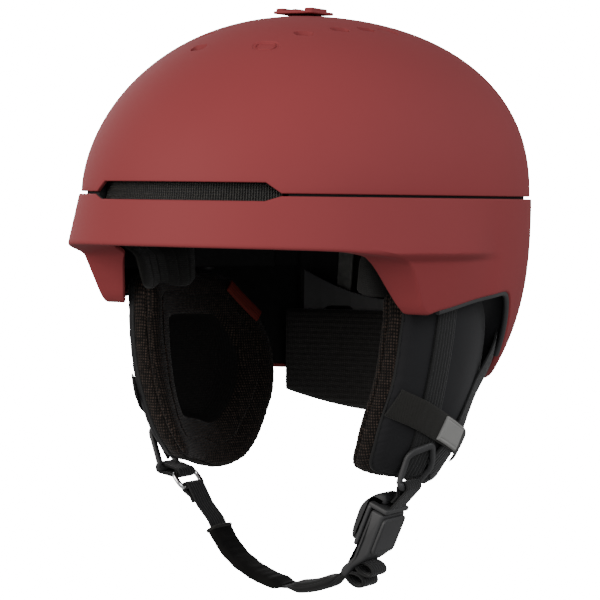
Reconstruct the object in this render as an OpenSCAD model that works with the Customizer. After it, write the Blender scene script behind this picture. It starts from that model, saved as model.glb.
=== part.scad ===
// Snow-sports helmet: two-piece hard shell, foam liner, fit system, ear pads, chin strap.
// Frame: +Z up, the wearer faces -Y, +X is the wearer's left.
// Origin: centre of the head cavity, on the parting line between the two shells.

/* [Shell] */
// Half width of the shell at the parting line
half_width = 108; // [100:1:118]
// Parting line, from the centre to the front
front_len = 130; // [122:1:140]
// Parting line, from the centre to the back
back_len = 136; // [128:1:146]
// Height of the crown above the parting line
crown_h = 93; // [86:1:102]
// Wall of both hard shells
shell_wall = 2.4; // [1.6:0.1:3.2]
// How far the lower shell stands proud at the parting line
seam_step = 1; // [0.5:0.1:2]
// Forward flare of the brim at its lower edge
brim_flare = 6; // [3:0.5:9]
// Gap between the two shells along the parting line
seam_gap = 1.2; // [0.8:0.1:2]

/* [Foam and padding] */
// Thickness of the impact foam at the crown
foam_wall = 23; // [18:0.5:28]
// Clearance between the foam and the hard shells
foam_gap = 0.6; // [0.4:0.1:1]
// Thickness of the comfort pads
pad_wall = 6; // [4:0.5:9]
// Thickness of an ear pad
ear_pad_wall = 20; // [15:1:24]
// Lowest point of the ear pads below the parting line
ear_pad_drop = 150; // [144:1:158]

/* [Vents] */
// Half angle of the front slot, measured from the front
slot_half_angle = 24.8; // [20:0.2:28]
// Top of the front slot above the parting line
slot_top = 5.7; // [4:0.1:8]
// Bottom of the front slot below the parting line
slot_bottom = 3; // [2:0.1:5]
// Length of a crown vent
vent_len = 10; // [6:0.5:13]
// Width of a crown vent
vent_wid = 5.5; // [4:0.5:8]
// Angle that the vent slider travels on its arc
slider_travel = 2.9; // [2:0.1:3.2]

/* [Webbing] */
// Width of the webbing
web_wid = 15; // [12:0.5:18]
// Thickness of the webbing
web_thk = 1.4; // [1:0.1:2]

/* [Fit system] */
// Diameter of the fit dial
dial_dia = 27; // [22:1:32]
// Diameter of the dial's spindle
spindle_dia = 6; // [4:0.5:8]
// How far the cradle is drawn forwards when the dial is wound in
cradle_travel = 10; // [6:1:12]

/* [Hidden] */

clr = 0.3;            // clearance between neighbours that don't fit into each other
plan_exp_front = 2.08;
plan_exp_back = 2.2;
prof_exp = 2.08;      // height exponent of the dome, on average
prof_lean = 0.4;      // how much fuller the back of the dome is than its front
prof_round = 2.17;
brim_depth = 27;      // height over which the brim flares
cheek_tuck = 7.7;     // how far the cheeks then curve in under the brim's edge
tuck_in = 18;         // how far the sides and back curve in at tuck_depth
tuck_depth = 90;
red = [0.46, 0.13, 0.14];
black = [0.07, 0.07, 0.075];
grey = [0.33, 0.33, 0.32];

// ---------- helpers ----------
function lerp(a, b, t) = a + (b - a) * t;
function clamp01(t) = min(1, max(0, t));
function smooth(t) = let (u = clamp01(t)) u * u * (3 - 2 * u);
function unit(v) = v / norm(v);
function spline(p, i, t) =          // Catmull-Rom through the rows of p, from row i to row i + 1
    let (n = len(p) - 1,
        a = i > 0 ? p[i - 1] : 2 * p[0] - p[1], b = p[i], c = p[i + 1],
        d = i + 2 <= n ? p[i + 2] : 2 * p[n] - p[n - 1])
    0.5 * (2 * b + (c - a) * t + (2 * a - 5 * b + 4 * c - d) * t * t + (3 * b - a - 3 * c + d) * t * t * t);

// Six times the volume inside faces, negative when they face outwards.
function inside(p, faces) = [for (f = faces, k = [1:len(f) - 2]) p[f[0]] * cross(p[f[k]], p[f[k + 1]])]
    * [for (f = faces, k = [1:len(f) - 2]) 1];
// A closed skin over rings of equal length: capped at both ends, or joined end to end.
module skin(rings, closed = false) {
    n = len(rings[0]);
    m = len(rings);
    last = closed ? m - 1 : m - 2;
    points = [for (r = rings, p = r) p];
    walls = [for (i = [0:last], j = [0:n - 1], k = [0, 1])
        let (a = i * n + j, b = i * n + (j + 1) % n,
            c = ((i + 1) % m) * n + (j + 1) % n, d = ((i + 1) % m) * n + j)
        k == 0 ? [a, b, c] : [a, c, d]];
    caps = closed ? [] : [[for (j = [n - 1:-1:0]) j], [for (j = [0:n - 1]) (m - 1) * n + j]];
    faces = concat(walls, caps);
    out = inside(points, faces) < 0;
    polyhedron(points, [for (f = faces) out ? f : [for (j = [len(f) - 1:-1:0]) f[j]]], convexity = 10);
}
// An unscaled resize: OpenSCAD evaluates what is inside as one mesh.
module as_mesh() resize([0, 0, 0]) children();
module mirror_copy(both = true) {
    children();
    if (both) mirror([1, 0, 0]) children();
}
module slot_2d(length, width) hull() for (s = [-1, 1]) translate([s * (length - width) / 2, 0]) circle(width / 2, $fn = 16);

// ---------- the shell's surface ----------
// ph is the angle round Z from the front, towards +X. d is the depth below the outer surface.
function plan(ph, d) =
    let (s = -cos(ph), b = (s < 0 ? front_len : back_len) - d,
        n = (plan_exp_front + plan_exp_back) / 2 + (plan_exp_back - plan_exp_front) / 2 * s)
    pow(pow(abs(sin(ph)) / (half_width - d), n) + pow(abs(s) / b, n), -1 / n);
function dome_r(ph, z, d) =
    plan(ph, d) * pow(max(0, 1 - pow(max(0, z) / (crown_h - d), prof_exp - prof_lean * cos(ph))), 1 / prof_round);
function lower_r(ph, z, d, step) =
    let (front = smooth((cos(ph) + 0.05) / 0.4), cheek = smooth((cos(ph) + 0.15) / 0.5))
    plan(ph, d) + step + front * brim_flare * clamp01(-z / brim_depth)
        - (1 - front) * tuck_in * pow(max(0, -z) / tuck_depth, 2.8)
        - cheek * (brim_flare * 0.9 * smooth((-z - brim_depth) / 5) + cheek_tuck * clamp01((-z - brim_depth - 3) / 28));
function shell_pt(ph, z, d, step = 0) =
    let (r = z > 0 ? dome_r(ph, z, d) : lower_r(ph, z, d, step)) [r * sin(ph), -r * cos(ph), z];

// Lower rim of the shell on the wearer's left, from the front to the back:
// angle at the parting line, angle at the rim, height of the rim, width of the inturned lip, direction of the lip.
rim_rows = [
    [0, 0, -25.4, 24, 0], [12, 12, -25.5, 24, 12], [21.4, 21.4, -25.7, 24, 21.4], [24.8, 24.8, -25.8, 24, 26],
    [37, 38, -26.6, 24, 45], [47, 49, -28.8, 24, 66], [51.5, 54.5, -31.4, 24, 80], [54.5, 57, -36, 22, 86],
    [58, 59.8, -46, 18, 88], [61.5, 62.2, -54.6, 14, 88], [65, 64.8, -57.8, 12, 88], [70, 70, -55.8, 5, 88],
    [83, 84, -51.8, 4, 90], [95, 98, -48.7, 4, 98], [101, 104.3, -48.4, 4, 104], [105, 107.8, -51.5, 3, 108],
    [109.5, 112, -61, 3, 112], [115, 117.5, -75, 3, 118], [122, 124.5, -88.5, 3, 125], [134, 136, -96.5, 4, 136],
    [145, 146, -98, 6, 146], [155, 156, -98, 6, 156], [168, 168, -97, 6, 168], [180, 180, -96.5, 6, 180]];
rim_last = len(rim_rows) - 1;
// Rows between the hand-set ones, n for each span, and mirrored to the wearer's right: one closed loop.
function rim_half(n) = [for (i = [0:rim_last - 1], k = [0:n - 1]) spline(rim_rows, i, k / n)];
function rim_loop(n) =
    let (h = rim_half(n))
    concat([for (r = h) concat(r, [1])], [concat(rim_rows[rim_last], [1])],
        [for (i = [len(h) - 1:-1:1]) concat(h[i], [-1])]);
function sided(p, side) = [p[0] * side, p[1], p[2]];
function rim_pt(row, d) = shell_pt(row[1], row[2], d, seam_step);
function lip_dir(row) = [-sin(row[4]), cos(row[4]), 0];
function lip_pt(row, w, d) = rim_pt(row, d) + w * lip_dir(row) + [0, 0, 0.5];
// The way from the rim into the shell's material, square to the rim and to the lip.
function lip_in(rows, i) =
    let (m = len(rows), a = rows[(i + m - 1) % m], b = rows[(i + 1) % m], r = rows[i],
        t = sided(rim_pt(b, 0), b[5]) - sided(rim_pt(a, 0), a[5]),
        n = unit(cross(t, sided(lip_dir(r), r[5]))),
        up = sided(shell_pt(r[0], 0, 0) - rim_pt(r, 0), r[5]))
    n * (n * up >= 0 ? 1 : -1);

// The front slot opens the parting line between slot_bottom and slot_top.
slot_ramp = 3.4;
function slot_share(ph) = clamp01((slot_half_angle - abs(ph)) / slot_ramp);
function upper_edge(ph) = lerp(seam_gap / 2, slot_top, slot_share(ph));
function lower_edge(ph) = -lerp(seam_gap / 2, slot_bottom, slot_share(ph));

// ---------- hard shells ----------
upper_stations = [for (i = [-24:23]) let (a = i * 7.5)
    abs(a) == 22.5 ? sign(a) * (slot_half_angle - slot_ramp) : abs(a) == 30 ? sign(a) * slot_half_angle : a];
function dome_ring(angles, share, d) =
    [for (a = angles) let (z0 = upper_edge(a), z = z0 + (crown_h - d - z0) * share) shell_pt(a, z, d)];
upper_shares = [for (v = [0:9:81]) sin(v)];
crown_vents = [[19.5, -75.5, 14], [29.5, -56, 27], [39.5, -37.5, 44], [45.5, -21.5, 62], [50, -6.5, 80]];
module crown_vent_cutters(extra = 0)
    for (v = crown_vents) mirror_copy()
        translate([v[0], v[1], 40]) rotate(v[2]) linear_extrude(80) slot_2d(vent_len + extra, vent_wid + extra);
knob_slot = [13, 11.6];             // width, and length at no travel
module upper_shell() color(red) as_mesh() difference() {
    skin(concat([for (k = [len(upper_shares) - 1:-1:0]) dome_ring(upper_stations, upper_shares[k], shell_wall)],
        [for (s = upper_shares) dome_ring(upper_stations, s, 0)]));
    crown_vent_cutters();
    translate([-knob_slot[0] / 2, knob_y - knob_slot[1] / 2, 60])
        cube([knob_slot[0], knob_slot[1] + slider_run, 60]);
}

function lower_profile(rows, i) =
    let (r = rows[i], n = lip_in(rows, i) * shell_wall, zt = lower_edge(r[0]), side = r[5],
        steps = [0.2, 0.4, 0.5, 0.6, 0.8])
    concat(
        [for (v = concat([0], steps, [1])) sided(shell_pt(lerp(r[0], r[1], v), lerp(zt, r[2], v), 0, seam_step), side)],
        [sided(lip_pt(r, r[3], 0), side), sided(lip_pt(r, r[3], 0), side) + n,
            sided(shell_pt(r[1], r[2], shell_wall, seam_step), side) + n],
        [for (v = [0.8, 0.6, 0.5, 0.4, 0.2, 0]) sided(shell_pt(lerp(r[0], r[1], v), lerp(zt, r[2], v), shell_wall, seam_step), side)]);
rear_vents = [10.5, 21.5, 32.5];
rear_vent_z = -53;
module lower_shell() color(red) as_mesh() difference() {
    rows = rim_loop(2);
    skin([for (i = [0:len(rows) - 1]) lower_profile(rows, i)], closed = true);
    for (x = rear_vents) mirror_copy()
        translate([x, 90, rear_vent_z]) rotate([-90, 0, 0]) linear_extrude(60) slot_2d(7, 4);
}

// ---------- impact foam ----------
foam_out = shell_wall + foam_gap;
foam_in = foam_out + foam_wall;
ear_z = -40;                        // the foam ends above the ears
foam_back = -84;                    // and lower down at the back
foam_shares = [for (v = [0, 12, 24, 36, 48, 60, 71, 81]) sin(v)];
function foam_rim_z(r) = max(r[2] + shell_wall + 1.8, r[1] > 59 && r[1] < 148 ? ear_z : foam_back);
function foam_low(r, v, inner) =
    let (zr = foam_rim_z(r), ph = lerp(r[0], r[1], v), z = zr * v,
        a = shell_pt(ph, z, foam_out),
        w = min(foam_wall, max(8, r[3] - shell_wall - 1)),
        b = r[1] < 68 ? a + w * [-sin(r[4]), cos(r[4]), 0]
            : shell_pt(ph, z, r[1] < 140 ? foam_in : lerp(foam_in, foam_out + foam_wall / 2, smooth(v * 1.3))))
    inner ? lerp(shell_pt(ph, z, foam_in), b, smooth(v * 1.4 - 0.4)) : a;
function foam_ring(rows, share, v, inner) =
    [for (r = rows) sided(v == 0 ? let (d = inner ? foam_in : foam_out) shell_pt(r[0], (crown_h - d) * share, d)
        : foam_low(r, v, inner), r[5])];
module impact_liner() color([0.12, 0.12, 0.12]) as_mesh() difference() {
    rows = rim_loop(1);
    n = len(foam_shares) - 1;
    skin(concat([for (k = [n:-1:0]) foam_ring(rows, foam_shares[k], 0, true)],
        [for (v = [0.25:0.25:1]) foam_ring(rows, 0, v, true)],
        [for (v = [1:-0.25:0.2]) foam_ring(rows, 0, v, false)],
        [for (k = [0:n]) foam_ring(rows, foam_shares[k], 0, false)]));
    slot_duct(2, 16, 1.5);
    crown_vent_cutters(1);
    shutter_patch(1.6, 60);
    translate([-56, 70, rear_vent_z - 7]) cube([112, 80, 14]);
}
// The block of air behind the front slot, from depth d0 to d1.
module slot_duct(d0, d1, grow) {
    z0 = -slot_bottom - 3 - grow;
    z1 = slot_top + 3 + grow;
    skin([for (a = [-slot_half_angle - grow:4:slot_half_angle + grow])
        [shell_pt(a, z0, d0), shell_pt(a, z1, d0), shell_pt(a, z1, d1), shell_pt(a, z0, d1)]]);
}
module front_vent_grille() color(black) as_mesh() difference() {
    slot_duct(9, 10.6, 0);
    for (a = [-24:3:24]) rotate(a) for (z = [-2, 2.5, 7])
        translate([0, -front_len - 10, z]) rotate([-90, 0, 0]) cylinder(d = 2.4, h = 40, $fn = 6);
}

// ---------- vent slider ----------
slide_r = 13020 / crown_h;          // the crown's radius, which the shutter slides along; a taller dome is tighter
slider_run = slider_travel * PI / 180 * slide_r;
slide_z = crown_h - shell_wall - 1.1 - slide_r;
shutter_thk = 1.2;
knob_y = -8;
// A piece of the sphere that the shutter slides on, of the shutter's outline.
module shutter_patch(grow, below) intersection() {
    translate([0, 0, slide_z]) difference() {
        sphere(slide_r + grow / 2 + (below > 0 ? 4 : 0), $fn = 96);
        sphere(slide_r - shutter_thk - grow / 2, $fn = 96);
    }
    translate([0, 0, crown_h - 45]) linear_extrude(60) offset(delta = grow) shutter_outline(below > 0 ? slider_run : 0);
}
// Two wings that cover the crown vents, joined under the knob.
module shutter_outline(run) {
    polygon(concat([[0, -24], [10, -66]], [[27, -66], [36, -46], [54, -26], [56, 6 + run]],
        [[34, 6 + run], [10, 8 + run], [-10, 8 + run], [-34, 6 + run]],
        [[-56, 6 + run], [-54, -26], [-36, -46], [-27, -66], [-10, -66]]));
}
module vent_shutter() color(black) difference() {
    intersection() {
        translate([0, 0, slide_z]) difference() {
            sphere(slide_r, $fn = 96);
            sphere(slide_r - shutter_thk, $fn = 96);
        }
        translate([0, 0, crown_h - 45]) linear_extrude(60) shutter_outline(0);
    }
    for (v = crown_vents) if (v[1] > -64) mirror_copy()
        translate([v[0], v[1], 40]) rotate(v[2]) linear_extrude(80) square([vent_len - 2, vent_wid - 1.5], center = true);
}
module slider_knob() color(red) translate([0, knob_y, 0]) {
    top = crown_h + 0.7;
    translate([-5, -5, crown_h - shell_wall - 0.9]) cube([10, 10, shell_wall + 1 + clr]);
    difference() {
        translate([0, 2, top]) linear_extrude(1.4) offset(2, $fn = 24) square([20, 20], center = true);
        translate([0, 0, top + 0.7]) linear_extrude(2) square([6, 20], center = true);
    }
    for (s = [-1, 1]) translate([s * 8.5 - 2.4, -8, top + 1.3]) cube([4.8, 16, 1.7]);
    translate([-1.3, -7, top + 0.6]) cube([2.6, 14, 2]);
}

// ---------- comfort pads inside the foam ----------
// A pad on the foam between two angles, two heights and two depths.
module arc_pad(a0, a1, z0, z1, d0, d1, n) skin([for (i = [0:n])
    let (a = lerp(a0, a1, i / n), e = (i == 0 || i == n) ? 4 : 0)
    [shell_pt(a, z0 + e, d0), shell_pt(a, z0 + e, d1), shell_pt(a, (z0 + z1) / 2, d1 + (e > 0 ? -1.5 : 0)),
        shell_pt(a, z1 - e, d1), shell_pt(a, z1 - e, d0), shell_pt(a, (z0 + z1) / 2, d0)]]);
pad_out = foam_in + 3 * clr;
module brow_pad() color(black) arc_pad(-47, 47, -17, 14, pad_out, pad_out + pad_wall, 14);
module side_pad() arc_pad(52, 99, -37, 8, pad_out, pad_out + pad_wall - 1, 8);
module side_pad_left() color(grey) side_pad();
module side_pad_right() color(grey) mirror([1, 0, 0]) side_pad();
module crown_pad() color(black) {
    top = crown_h - foam_in - clr;
    for (a = [0:60:300]) rotate(a) skin([for (i = [0:3]) let (r = 9 + i * 13, h = [2, 3, 6.5, 12.5][i])
        [[r, -3 - i * 3.2, top - h - pad_wall], [r, 3 + i * 3.2, top - h - pad_wall],
            [r, 3 + i * 3.2, top - h - 1], [r, -3 - i * 3.2, top - h - 1]]]);
}

// ---------- fit system ----------
halo_depth = foam_in + 4 * clr;
halo_z = [-30, -15];
module fit_halo() color(black) arc_pad(104, 256, halo_z[0], halo_z[1], halo_depth, halo_depth + 2.2, 24);
// Studs on the halo's inner face, square to the shell's surface there.
module halo_anchors() color(black) for (a = [118, 140, 220, 242]) {
    n = unit(cross(shell_pt(a + 2, -22, 0) - shell_pt(a - 2, -22, 0), [0, 0, 1]));
    translate(shell_pt(a, -22, halo_depth + 2.2) - 0.65 * sign(n * shell_pt(a, 0, 0)) * n)
        rotate([0, 0, atan2(n[1], n[0])]) rotate([0, -90 * sign(n * shell_pt(a, 0, 0)), 0]) cylinder(d = 8, h = 1.6);
}

cradle_y = 97;                      // outer face of the cradle at its middle
cradle_r = 80;
cradle_half = 48;
cradle_wall = 2.2;
function cradle_back(x) = cradle_y - x * x / (2 * cradle_r);
module cradle_skin(d0, d1, low, high, half, n = 12) skin([for (i = [0:n])
    let (x = lerp(-half, half, i / n), s = abs(x) / half, y = cradle_back(x))
    [[x, y - d0, lerp(low[0], low[1], s * s)], [x, y - d1, lerp(low[0], low[1], s * s)],
        [x, y - d1, lerp(high[0], high[1], s * s)], [x, y - d0, lerp(high[0], high[1], s * s)]]]);
screw_x = 11;
screw_z = -90;
module rear_cradle() color(black) as_mesh() difference() {
    cradle_skin(0, cradle_wall, [-100, -70], [-58, -42], cradle_half);
    for (x = [-30, 0, 30]) translate([x, cradle_back(x) - 6, -73 + abs(x) * 0.25]) rotate([-90, 0, 0])
        linear_extrude(12) slot_2d(x == 0 ? 20 : 16, 7);
    for (s = [-1, 1]) translate([s * screw_x, cradle_y - 8, screw_z]) rotate([-90, 0, 0])
        cylinder(d = 2.6, h = 16, $fn = 16);
}
module nape_pad() color(black)
    cradle_skin(cradle_wall + clr, cradle_wall + 8, [-119, -108], [-64, -64], cradle_half);

dial_z = -110.5;
housing_y = [cradle_y + 0.3, cradle_y + 5.3];
spindle_clr = 0.05;
module dial_housing() color(black) difference() {
    translate([0, housing_y[0], 0]) rotate([90, 0, 0]) mirror([0, 0, 1]) linear_extrude(housing_y[1] - housing_y[0])
        hull() {
            translate([0, dial_z]) circle(dial_dia / 2 + 1, $fn = 64);
            for (s = [-1, 1]) translate([s * 15, screw_z + 2]) circle(4, $fn = 32);
        }
    translate([0, housing_y[0] - 1, dial_z]) rotate([-90, 0, 0])
        cylinder(r = spindle_dia / 2 + spindle_clr, h = 10, $fn = 48);
    for (s = [-1, 1]) translate([s * screw_x, housing_y[0] - 1, screw_z]) rotate([-90, 0, 0])
        cylinder(d = 2.6, h = 10, $fn = 32);
}
module housing_screws() color(grey) for (s = [-1, 1]) translate([s * screw_x, 0, screw_z]) rotate([-90, 0, 0]) {
    translate([0, 0, cradle_y - cradle_wall]) cylinder(d = 2.5, h = housing_y[1] - cradle_y + cradle_wall, $fn = 32);
    difference() {
        translate([0, 0, housing_y[1]]) cylinder(d = 5.2, h = 1.4, $fn = 32);
        translate([0, 0, housing_y[1] + 0.6]) cylinder(d = 2.2, h = 2, $fn = 6);
    }
}
dial_y = housing_y[1] + clr;
dial_thk = 9.5;
module fit_dial() color(black) translate([0, dial_y, dial_z]) rotate([-90, 0, 0]) difference() {
    linear_extrude(dial_thk) difference() {
        circle(dial_dia / 2, $fn = 96);
        for (a = [0:20:340]) rotate(a) translate([dial_dia / 2 + 0.8, 0]) circle(1.6, $fn = 16);
    }
    translate([0, 0, -1]) cylinder(d = spindle_dia, h = dial_thk - 2, $fn = 48);
    translate([0, 0, dial_thk - 1.2]) cylinder(d = dial_dia - 10, h = 2, $fn = 64);
}
module dial_spindle() color(grey) translate([0, housing_y[0] + 0.4, dial_z]) rotate([-90, 0, 0])
    cylinder(d = spindle_dia, h = dial_y + dial_thk - 3.2 - housing_y[0] - 0.4, $fn = 48);

// A band along a path in the plane that its width is square to.
module band_x(path, x, width, thk) skin([for (i = [0:len(path) - 1])
    let (t = unit(path[min(i + 1, len(path) - 1)] - path[max(i - 1, 0)]), n = [-t[1], t[0]] * thk / 2,
        a = path[i] - n, b = path[i] + n)
    [[x - width / 2, a[0], a[1]], [x + width / 2, a[0], a[1]],
        [x + width / 2, b[0], b[1]], [x - width / 2, b[0], b[1]]]]);
// From the cradle up to the halo's inner face, near the back.
strap_foot = 93.2;
strap_head = back_len - halo_depth - 11.8;
module cradle_strap() band_x([for (p = [[0, -62], [0.368, -52], [0.684, -42], [0.895, -32], [1, -24]])
    [lerp(strap_foot, strap_head, p[0]), p[1]]], 30, 9, 1.2);
module cradle_strap_left() color(grey) cradle_strap();
module cradle_strap_right() color(grey) mirror([1, 0, 0]) cradle_strap();
module tube(path, d) {
    m = len(path);
    skin([for (i = [0:m - 1])
        let (t = unit(path[min(i + 1, m - 1)] - path[max(i - 1, 0)]), u = unit(cross(t, [0, 0, 1])), v = cross(t, u))
        [for (a = [0:45:315]) path[i] + (u * cos(a) + v * sin(a)) * d / 2]]);
}
lace_path = [[19.5, 99.5, -93], [24, 96.2, -88], [30, 93.0, -80], [36, 90.2, -70], [41, 87.7, -60], [44, 86.1, -52]];
module lace() color(grey) mirror_copy() tube(lace_path, 1.8);

// ---------- ear pads ----------
// The pad's outer face, on the wearer's left: x as a function of y and z.
function ramp(t, p) =             // straight lines through the rows of p, from low to high
    let (i = max([for (k = [0:len(p) - 2]) t >= p[k][0] ? k : 0]))
    lerp(p[i][1], p[i + 1][1], clamp01((t - p[i][0]) / (p[i + 1][0] - p[i][0])));
// How far the pad's outer face lies inside the shell's half width, at each height.
pad_inset = [[-165, 48], [-150, 38], [-142, 33], [-132, 28], [-120, 24], [-100, 19.5], [-75, 16], [-50, 14.5]];
face_rows = [for (r = pad_inset) [r[0], half_width - r[1]]];
bow_rows = [[-148, 0.013], [-138, 0.0105], [-126, 0.0078], [-115, 0.0065], [-92, 0.005], [-60, 0.0048]];
function pad_x(y, z) = ramp(z, face_rows) - ramp(z, bow_rows) * y * y;
drop = ear_pad_drop - 150;
pad_outline = [[-38, -43.5], [-43, -62], [-44.5, -92], [-45, -110], [-43, -124 - drop / 2], [-38, -135 - drop],
    [-28, -139.5 - drop], [-8, -143 - drop], [9, -147.5 - drop], [24, -144.5 - drop], [38, -134 - drop],
    [50, -120 - drop / 2], [59, -104], [62, -88], [59, -74], [50, -59], [36, -45], [0, -42.5]];
pad_mid = [6, -94];
function loop_spline(p, n) = let (m = len(p)) [for (i = [0:m - 1], k = [0:n - 1])
    spline([p[(i + m - 1) % m], p[i], p[(i + 1) % m], p[(i + 2) % m]], 1, k / n)];
// One turn of the pad at a share of its outline, at a depth below its outer face.
function pad_ring(share, depth) = [for (p = loop_spline(pad_outline, 2))
    let (q = lerp(pad_mid, p, share)) [pad_x(q[0], q[1]) - depth, q[0], q[1]]];
gusset = ear_pad_wall * 0.62;
module ear_pad() skin([pad_ring(0.04, 0), pad_ring(0.4, 0), pad_ring(0.75, 0), pad_ring(0.97, 0.3), pad_ring(1, 1.5),
    pad_ring(1, gusset), pad_ring(0.96, gusset + 2.5), pad_ring(0.78, ear_pad_wall), pad_ring(0.58, ear_pad_wall),
    pad_ring(0.46, 9), pad_ring(0.04, 9)]);
module ear_pad_left() color(black) ear_pad();
module ear_pad_right() color(black) mirror([1, 0, 0]) ear_pad();
// Studs that hold the ear pads to the edge of the foam.
module pad_snaps() color(black) mirror_copy() for (y = [-22, 8, 30])
    translate([half_width - 24 - y * y * 0.004, y, ear_z - 1.5]) cylinder(d = 7, h = 1.2, $fn = 32);
// Red tabs that the ear pads are pulled out by.
module pad_tabs() color(red) mirror_copy() skin([for (i = [0:4]) let (y = 31 + i * 4.6, z = -50 - i * 4.4)
    let (x = pad_x(y, z) - ear_pad_wall - 1.2)
    [[x, y - 2.4, z - 2.6], [x, y + 2.4, z + 2.6], [x - 1.2, y + 2.4, z + 2.6], [x - 1.2, y - 2.4, z - 2.6]]]);

// ---------- webbing over the ear pads ----------
// A strap that lies on the pad: its middle line in y and z, its lift off the pad.
module pad_strap(line, width, lift, thk) {
    m = len(line);
    skin([for (i = [0:m - 1])
        let (t = unit(line[min(i + 1, m - 1)] - line[max(i - 1, 0)]), n = [-t[1], t[0]] * width / 2,
            a = line[i] - n, b = line[i] + n, xa = pad_x(a[0], a[1]) + lift, xb = pad_x(b[0], b[1]) + lift)
        [[xa, a[0], a[1]], [xb, b[0], b[1]], [xb + thk, b[0], b[1]], [xa + thk, a[0], a[1]]]]);
}
front_line = [[-17, -50], [-18, -62], [-19.5, -80], [-20.5, -100], [-20, -115], [-19, -128], [-18.5, -140.5]];
rear_line = [[52, -72], [45, -82], [36, -93], [26, -104], [15, -116], [3, -128], [-8, -138.5]];
module front_strap_left() color(black) pad_strap(front_line, web_wid, 0.6, web_thk);
module front_strap_right() color(black) mirror([1, 0, 0]) pad_strap(front_line, web_wid, 0.6, web_thk);
module rear_strap_left() color(black) pad_strap(rear_line, web_wid, 0.6 + web_thk + 0.4, web_thk);
module rear_strap_right() color(black) mirror([1, 0, 0]) pad_strap(rear_line, web_wid, 0.6 + web_thk + 0.4, web_thk);
// Rivets that hold the tops of the straps to the shell.
module strap_anchors() color(grey) mirror_copy() for (p = [front_line[0], rear_line[0]])
    translate([pad_x(p[0], p[1]) + 1.6 + (p[0] > 0 ? 2 : 0), p[0], p[1] + 2]) rotate([0, 90, p[0] > 0 ? 28 : -8])
        translate([0, 0, web_thk]) cylinder(d = 8, h = 1.6, $fn = 32);
loop_line = [[-45.5, -100.5], [-36, -105], [-24, -109.5], [-8, -115], [8, -120.5], [22, -126], [33, -131]];
loop_lift = 2 * web_thk + 2;
module pad_loop() pad_strap(loop_line, 14, loop_lift, 1);
module pad_loop_left() color(black) pad_loop();
module pad_loop_right() color(black) mirror([1, 0, 0]) pad_loop();
badge_line = [for (i = [0:3]) lerp([-9, -114.7], [14, -122.7], i / 3)];
module badge() pad_strap(badge_line, 12, loop_lift + 1.3, 1.2);
module badge_left() color([0.36, 0.36, 0.35]) badge();
module badge_right() color([0.36, 0.36, 0.35]) mirror([1, 0, 0]) badge();

// ---------- strap dividers ----------
divider_bar = [half_width - 35, -19, -146];      // the bar that the lower webbing turns round
bar_len = web_wid + 6;
bar_d = 3.6;
ring_d = 2.6;
web_grow = (web_wid - 15) / 2;      // the divider's two sides follow the webbing's edges
divider_rows = [[-28.6 - web_grow, -146], [-28 - web_grow, -139], [-17, -126], [-8 + web_grow, -124],
    [-5.5 + web_grow, -136], [-9.4 + web_grow, -146]];
module divider() {
    lift = loop_lift + 1.2;
    m = len(divider_rows);
    translate([divider_bar[0], divider_bar[1] - bar_len / 2, divider_bar[2]]) rotate([-90, 0, 0])
        cylinder(d = bar_d, h = bar_len, $fn = 32);
    skin([for (i = [0:m - 1]) let (b = divider_rows[i], a = lerp([-17, -136], b, 0.85))
        [for (q = [[a, 2.4], [b, 2.4], [b, 0], [a, 0]])
            let (x = q[0][1] < -139 ? divider_bar[0] - 0.9 : pad_x(q[0][0], q[0][1]) + lift)
            [x + q[1], q[0][0], q[0][1]]]]);
}
module divider_left() color(black) divider();
module divider_right() color(black) mirror([1, 0, 0]) divider();

// ---------- chin strap ----------
strap_y = divider_bar[1];
fold_clr = 0.08;
ring_top = [-63, -148.2];
ring_low = [-57, -155.2];
// A band along a path of x and z, with its width along Y.
module band_y(path, width, thk, closed = false) {
    m = len(path);
    skin([for (i = [0:m - 1])
        let (p = path[closed ? (i + m - 1) % m : max(i - 1, 0)], q = path[closed ? (i + 1) % m : min(i + 1, m - 1)],
            t = unit(q - p), n = [-t[1], t[0]] * thk / 2, a = path[i] - n, b = path[i] + n)
        [[a[0], strap_y - width / 2, a[1]], [a[0], strap_y + width / 2, a[1]],
            [b[0], strap_y + width / 2, b[1]], [b[0], strap_y - width / 2, b[1]]]], closed = closed);
}
// A path that comes along dir from its far end, turns round a bar and lies back on itself.
function fold(bar, dir, d, run, back) =
    let (r = d / 2 + fold_clr + web_thk / 2, e = [-dir[1], dir[0]])
    concat([for (t = [run, run * 0.7, run * 0.4, run * 0.18]) bar + dir * t + e * r * (1 - t / run)],
        [for (a = [0:30:180]) bar + r * (e * cos(a) - dir * sin(a))],
        [bar + dir * 1.6 - e * r * 0.98],
        [for (t = [5.5, back]) bar + dir * t + e * (r * (1 - t / run) - web_thk - 0.5)]);
function turned(v, a) = [v[0] * cos(a) - v[1] * sin(a), v[0] * sin(a) + v[1] * cos(a)];

// Webbing tab on the wearer's right, from the divider's bar down to the ring.
module strap_tab() color(black) {
    bar = [-divider_bar[0], divider_bar[2]];
    dir = unit(ring_top - bar);
    r = bar_d / 2 + fold_clr + web_thk / 2;
    q = ring_d / 2 + fold_clr + web_thk / 2;
    e = [-dir[1], dir[0]];
    band_y(concat([for (a = [0:30:180]) bar + r * (e * cos(a) - dir * sin(a))],
        [for (a = [180:30:360]) ring_top + q * (e * cos(a) - dir * sin(a))]), web_wid, web_thk, closed = true);
}
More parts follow.
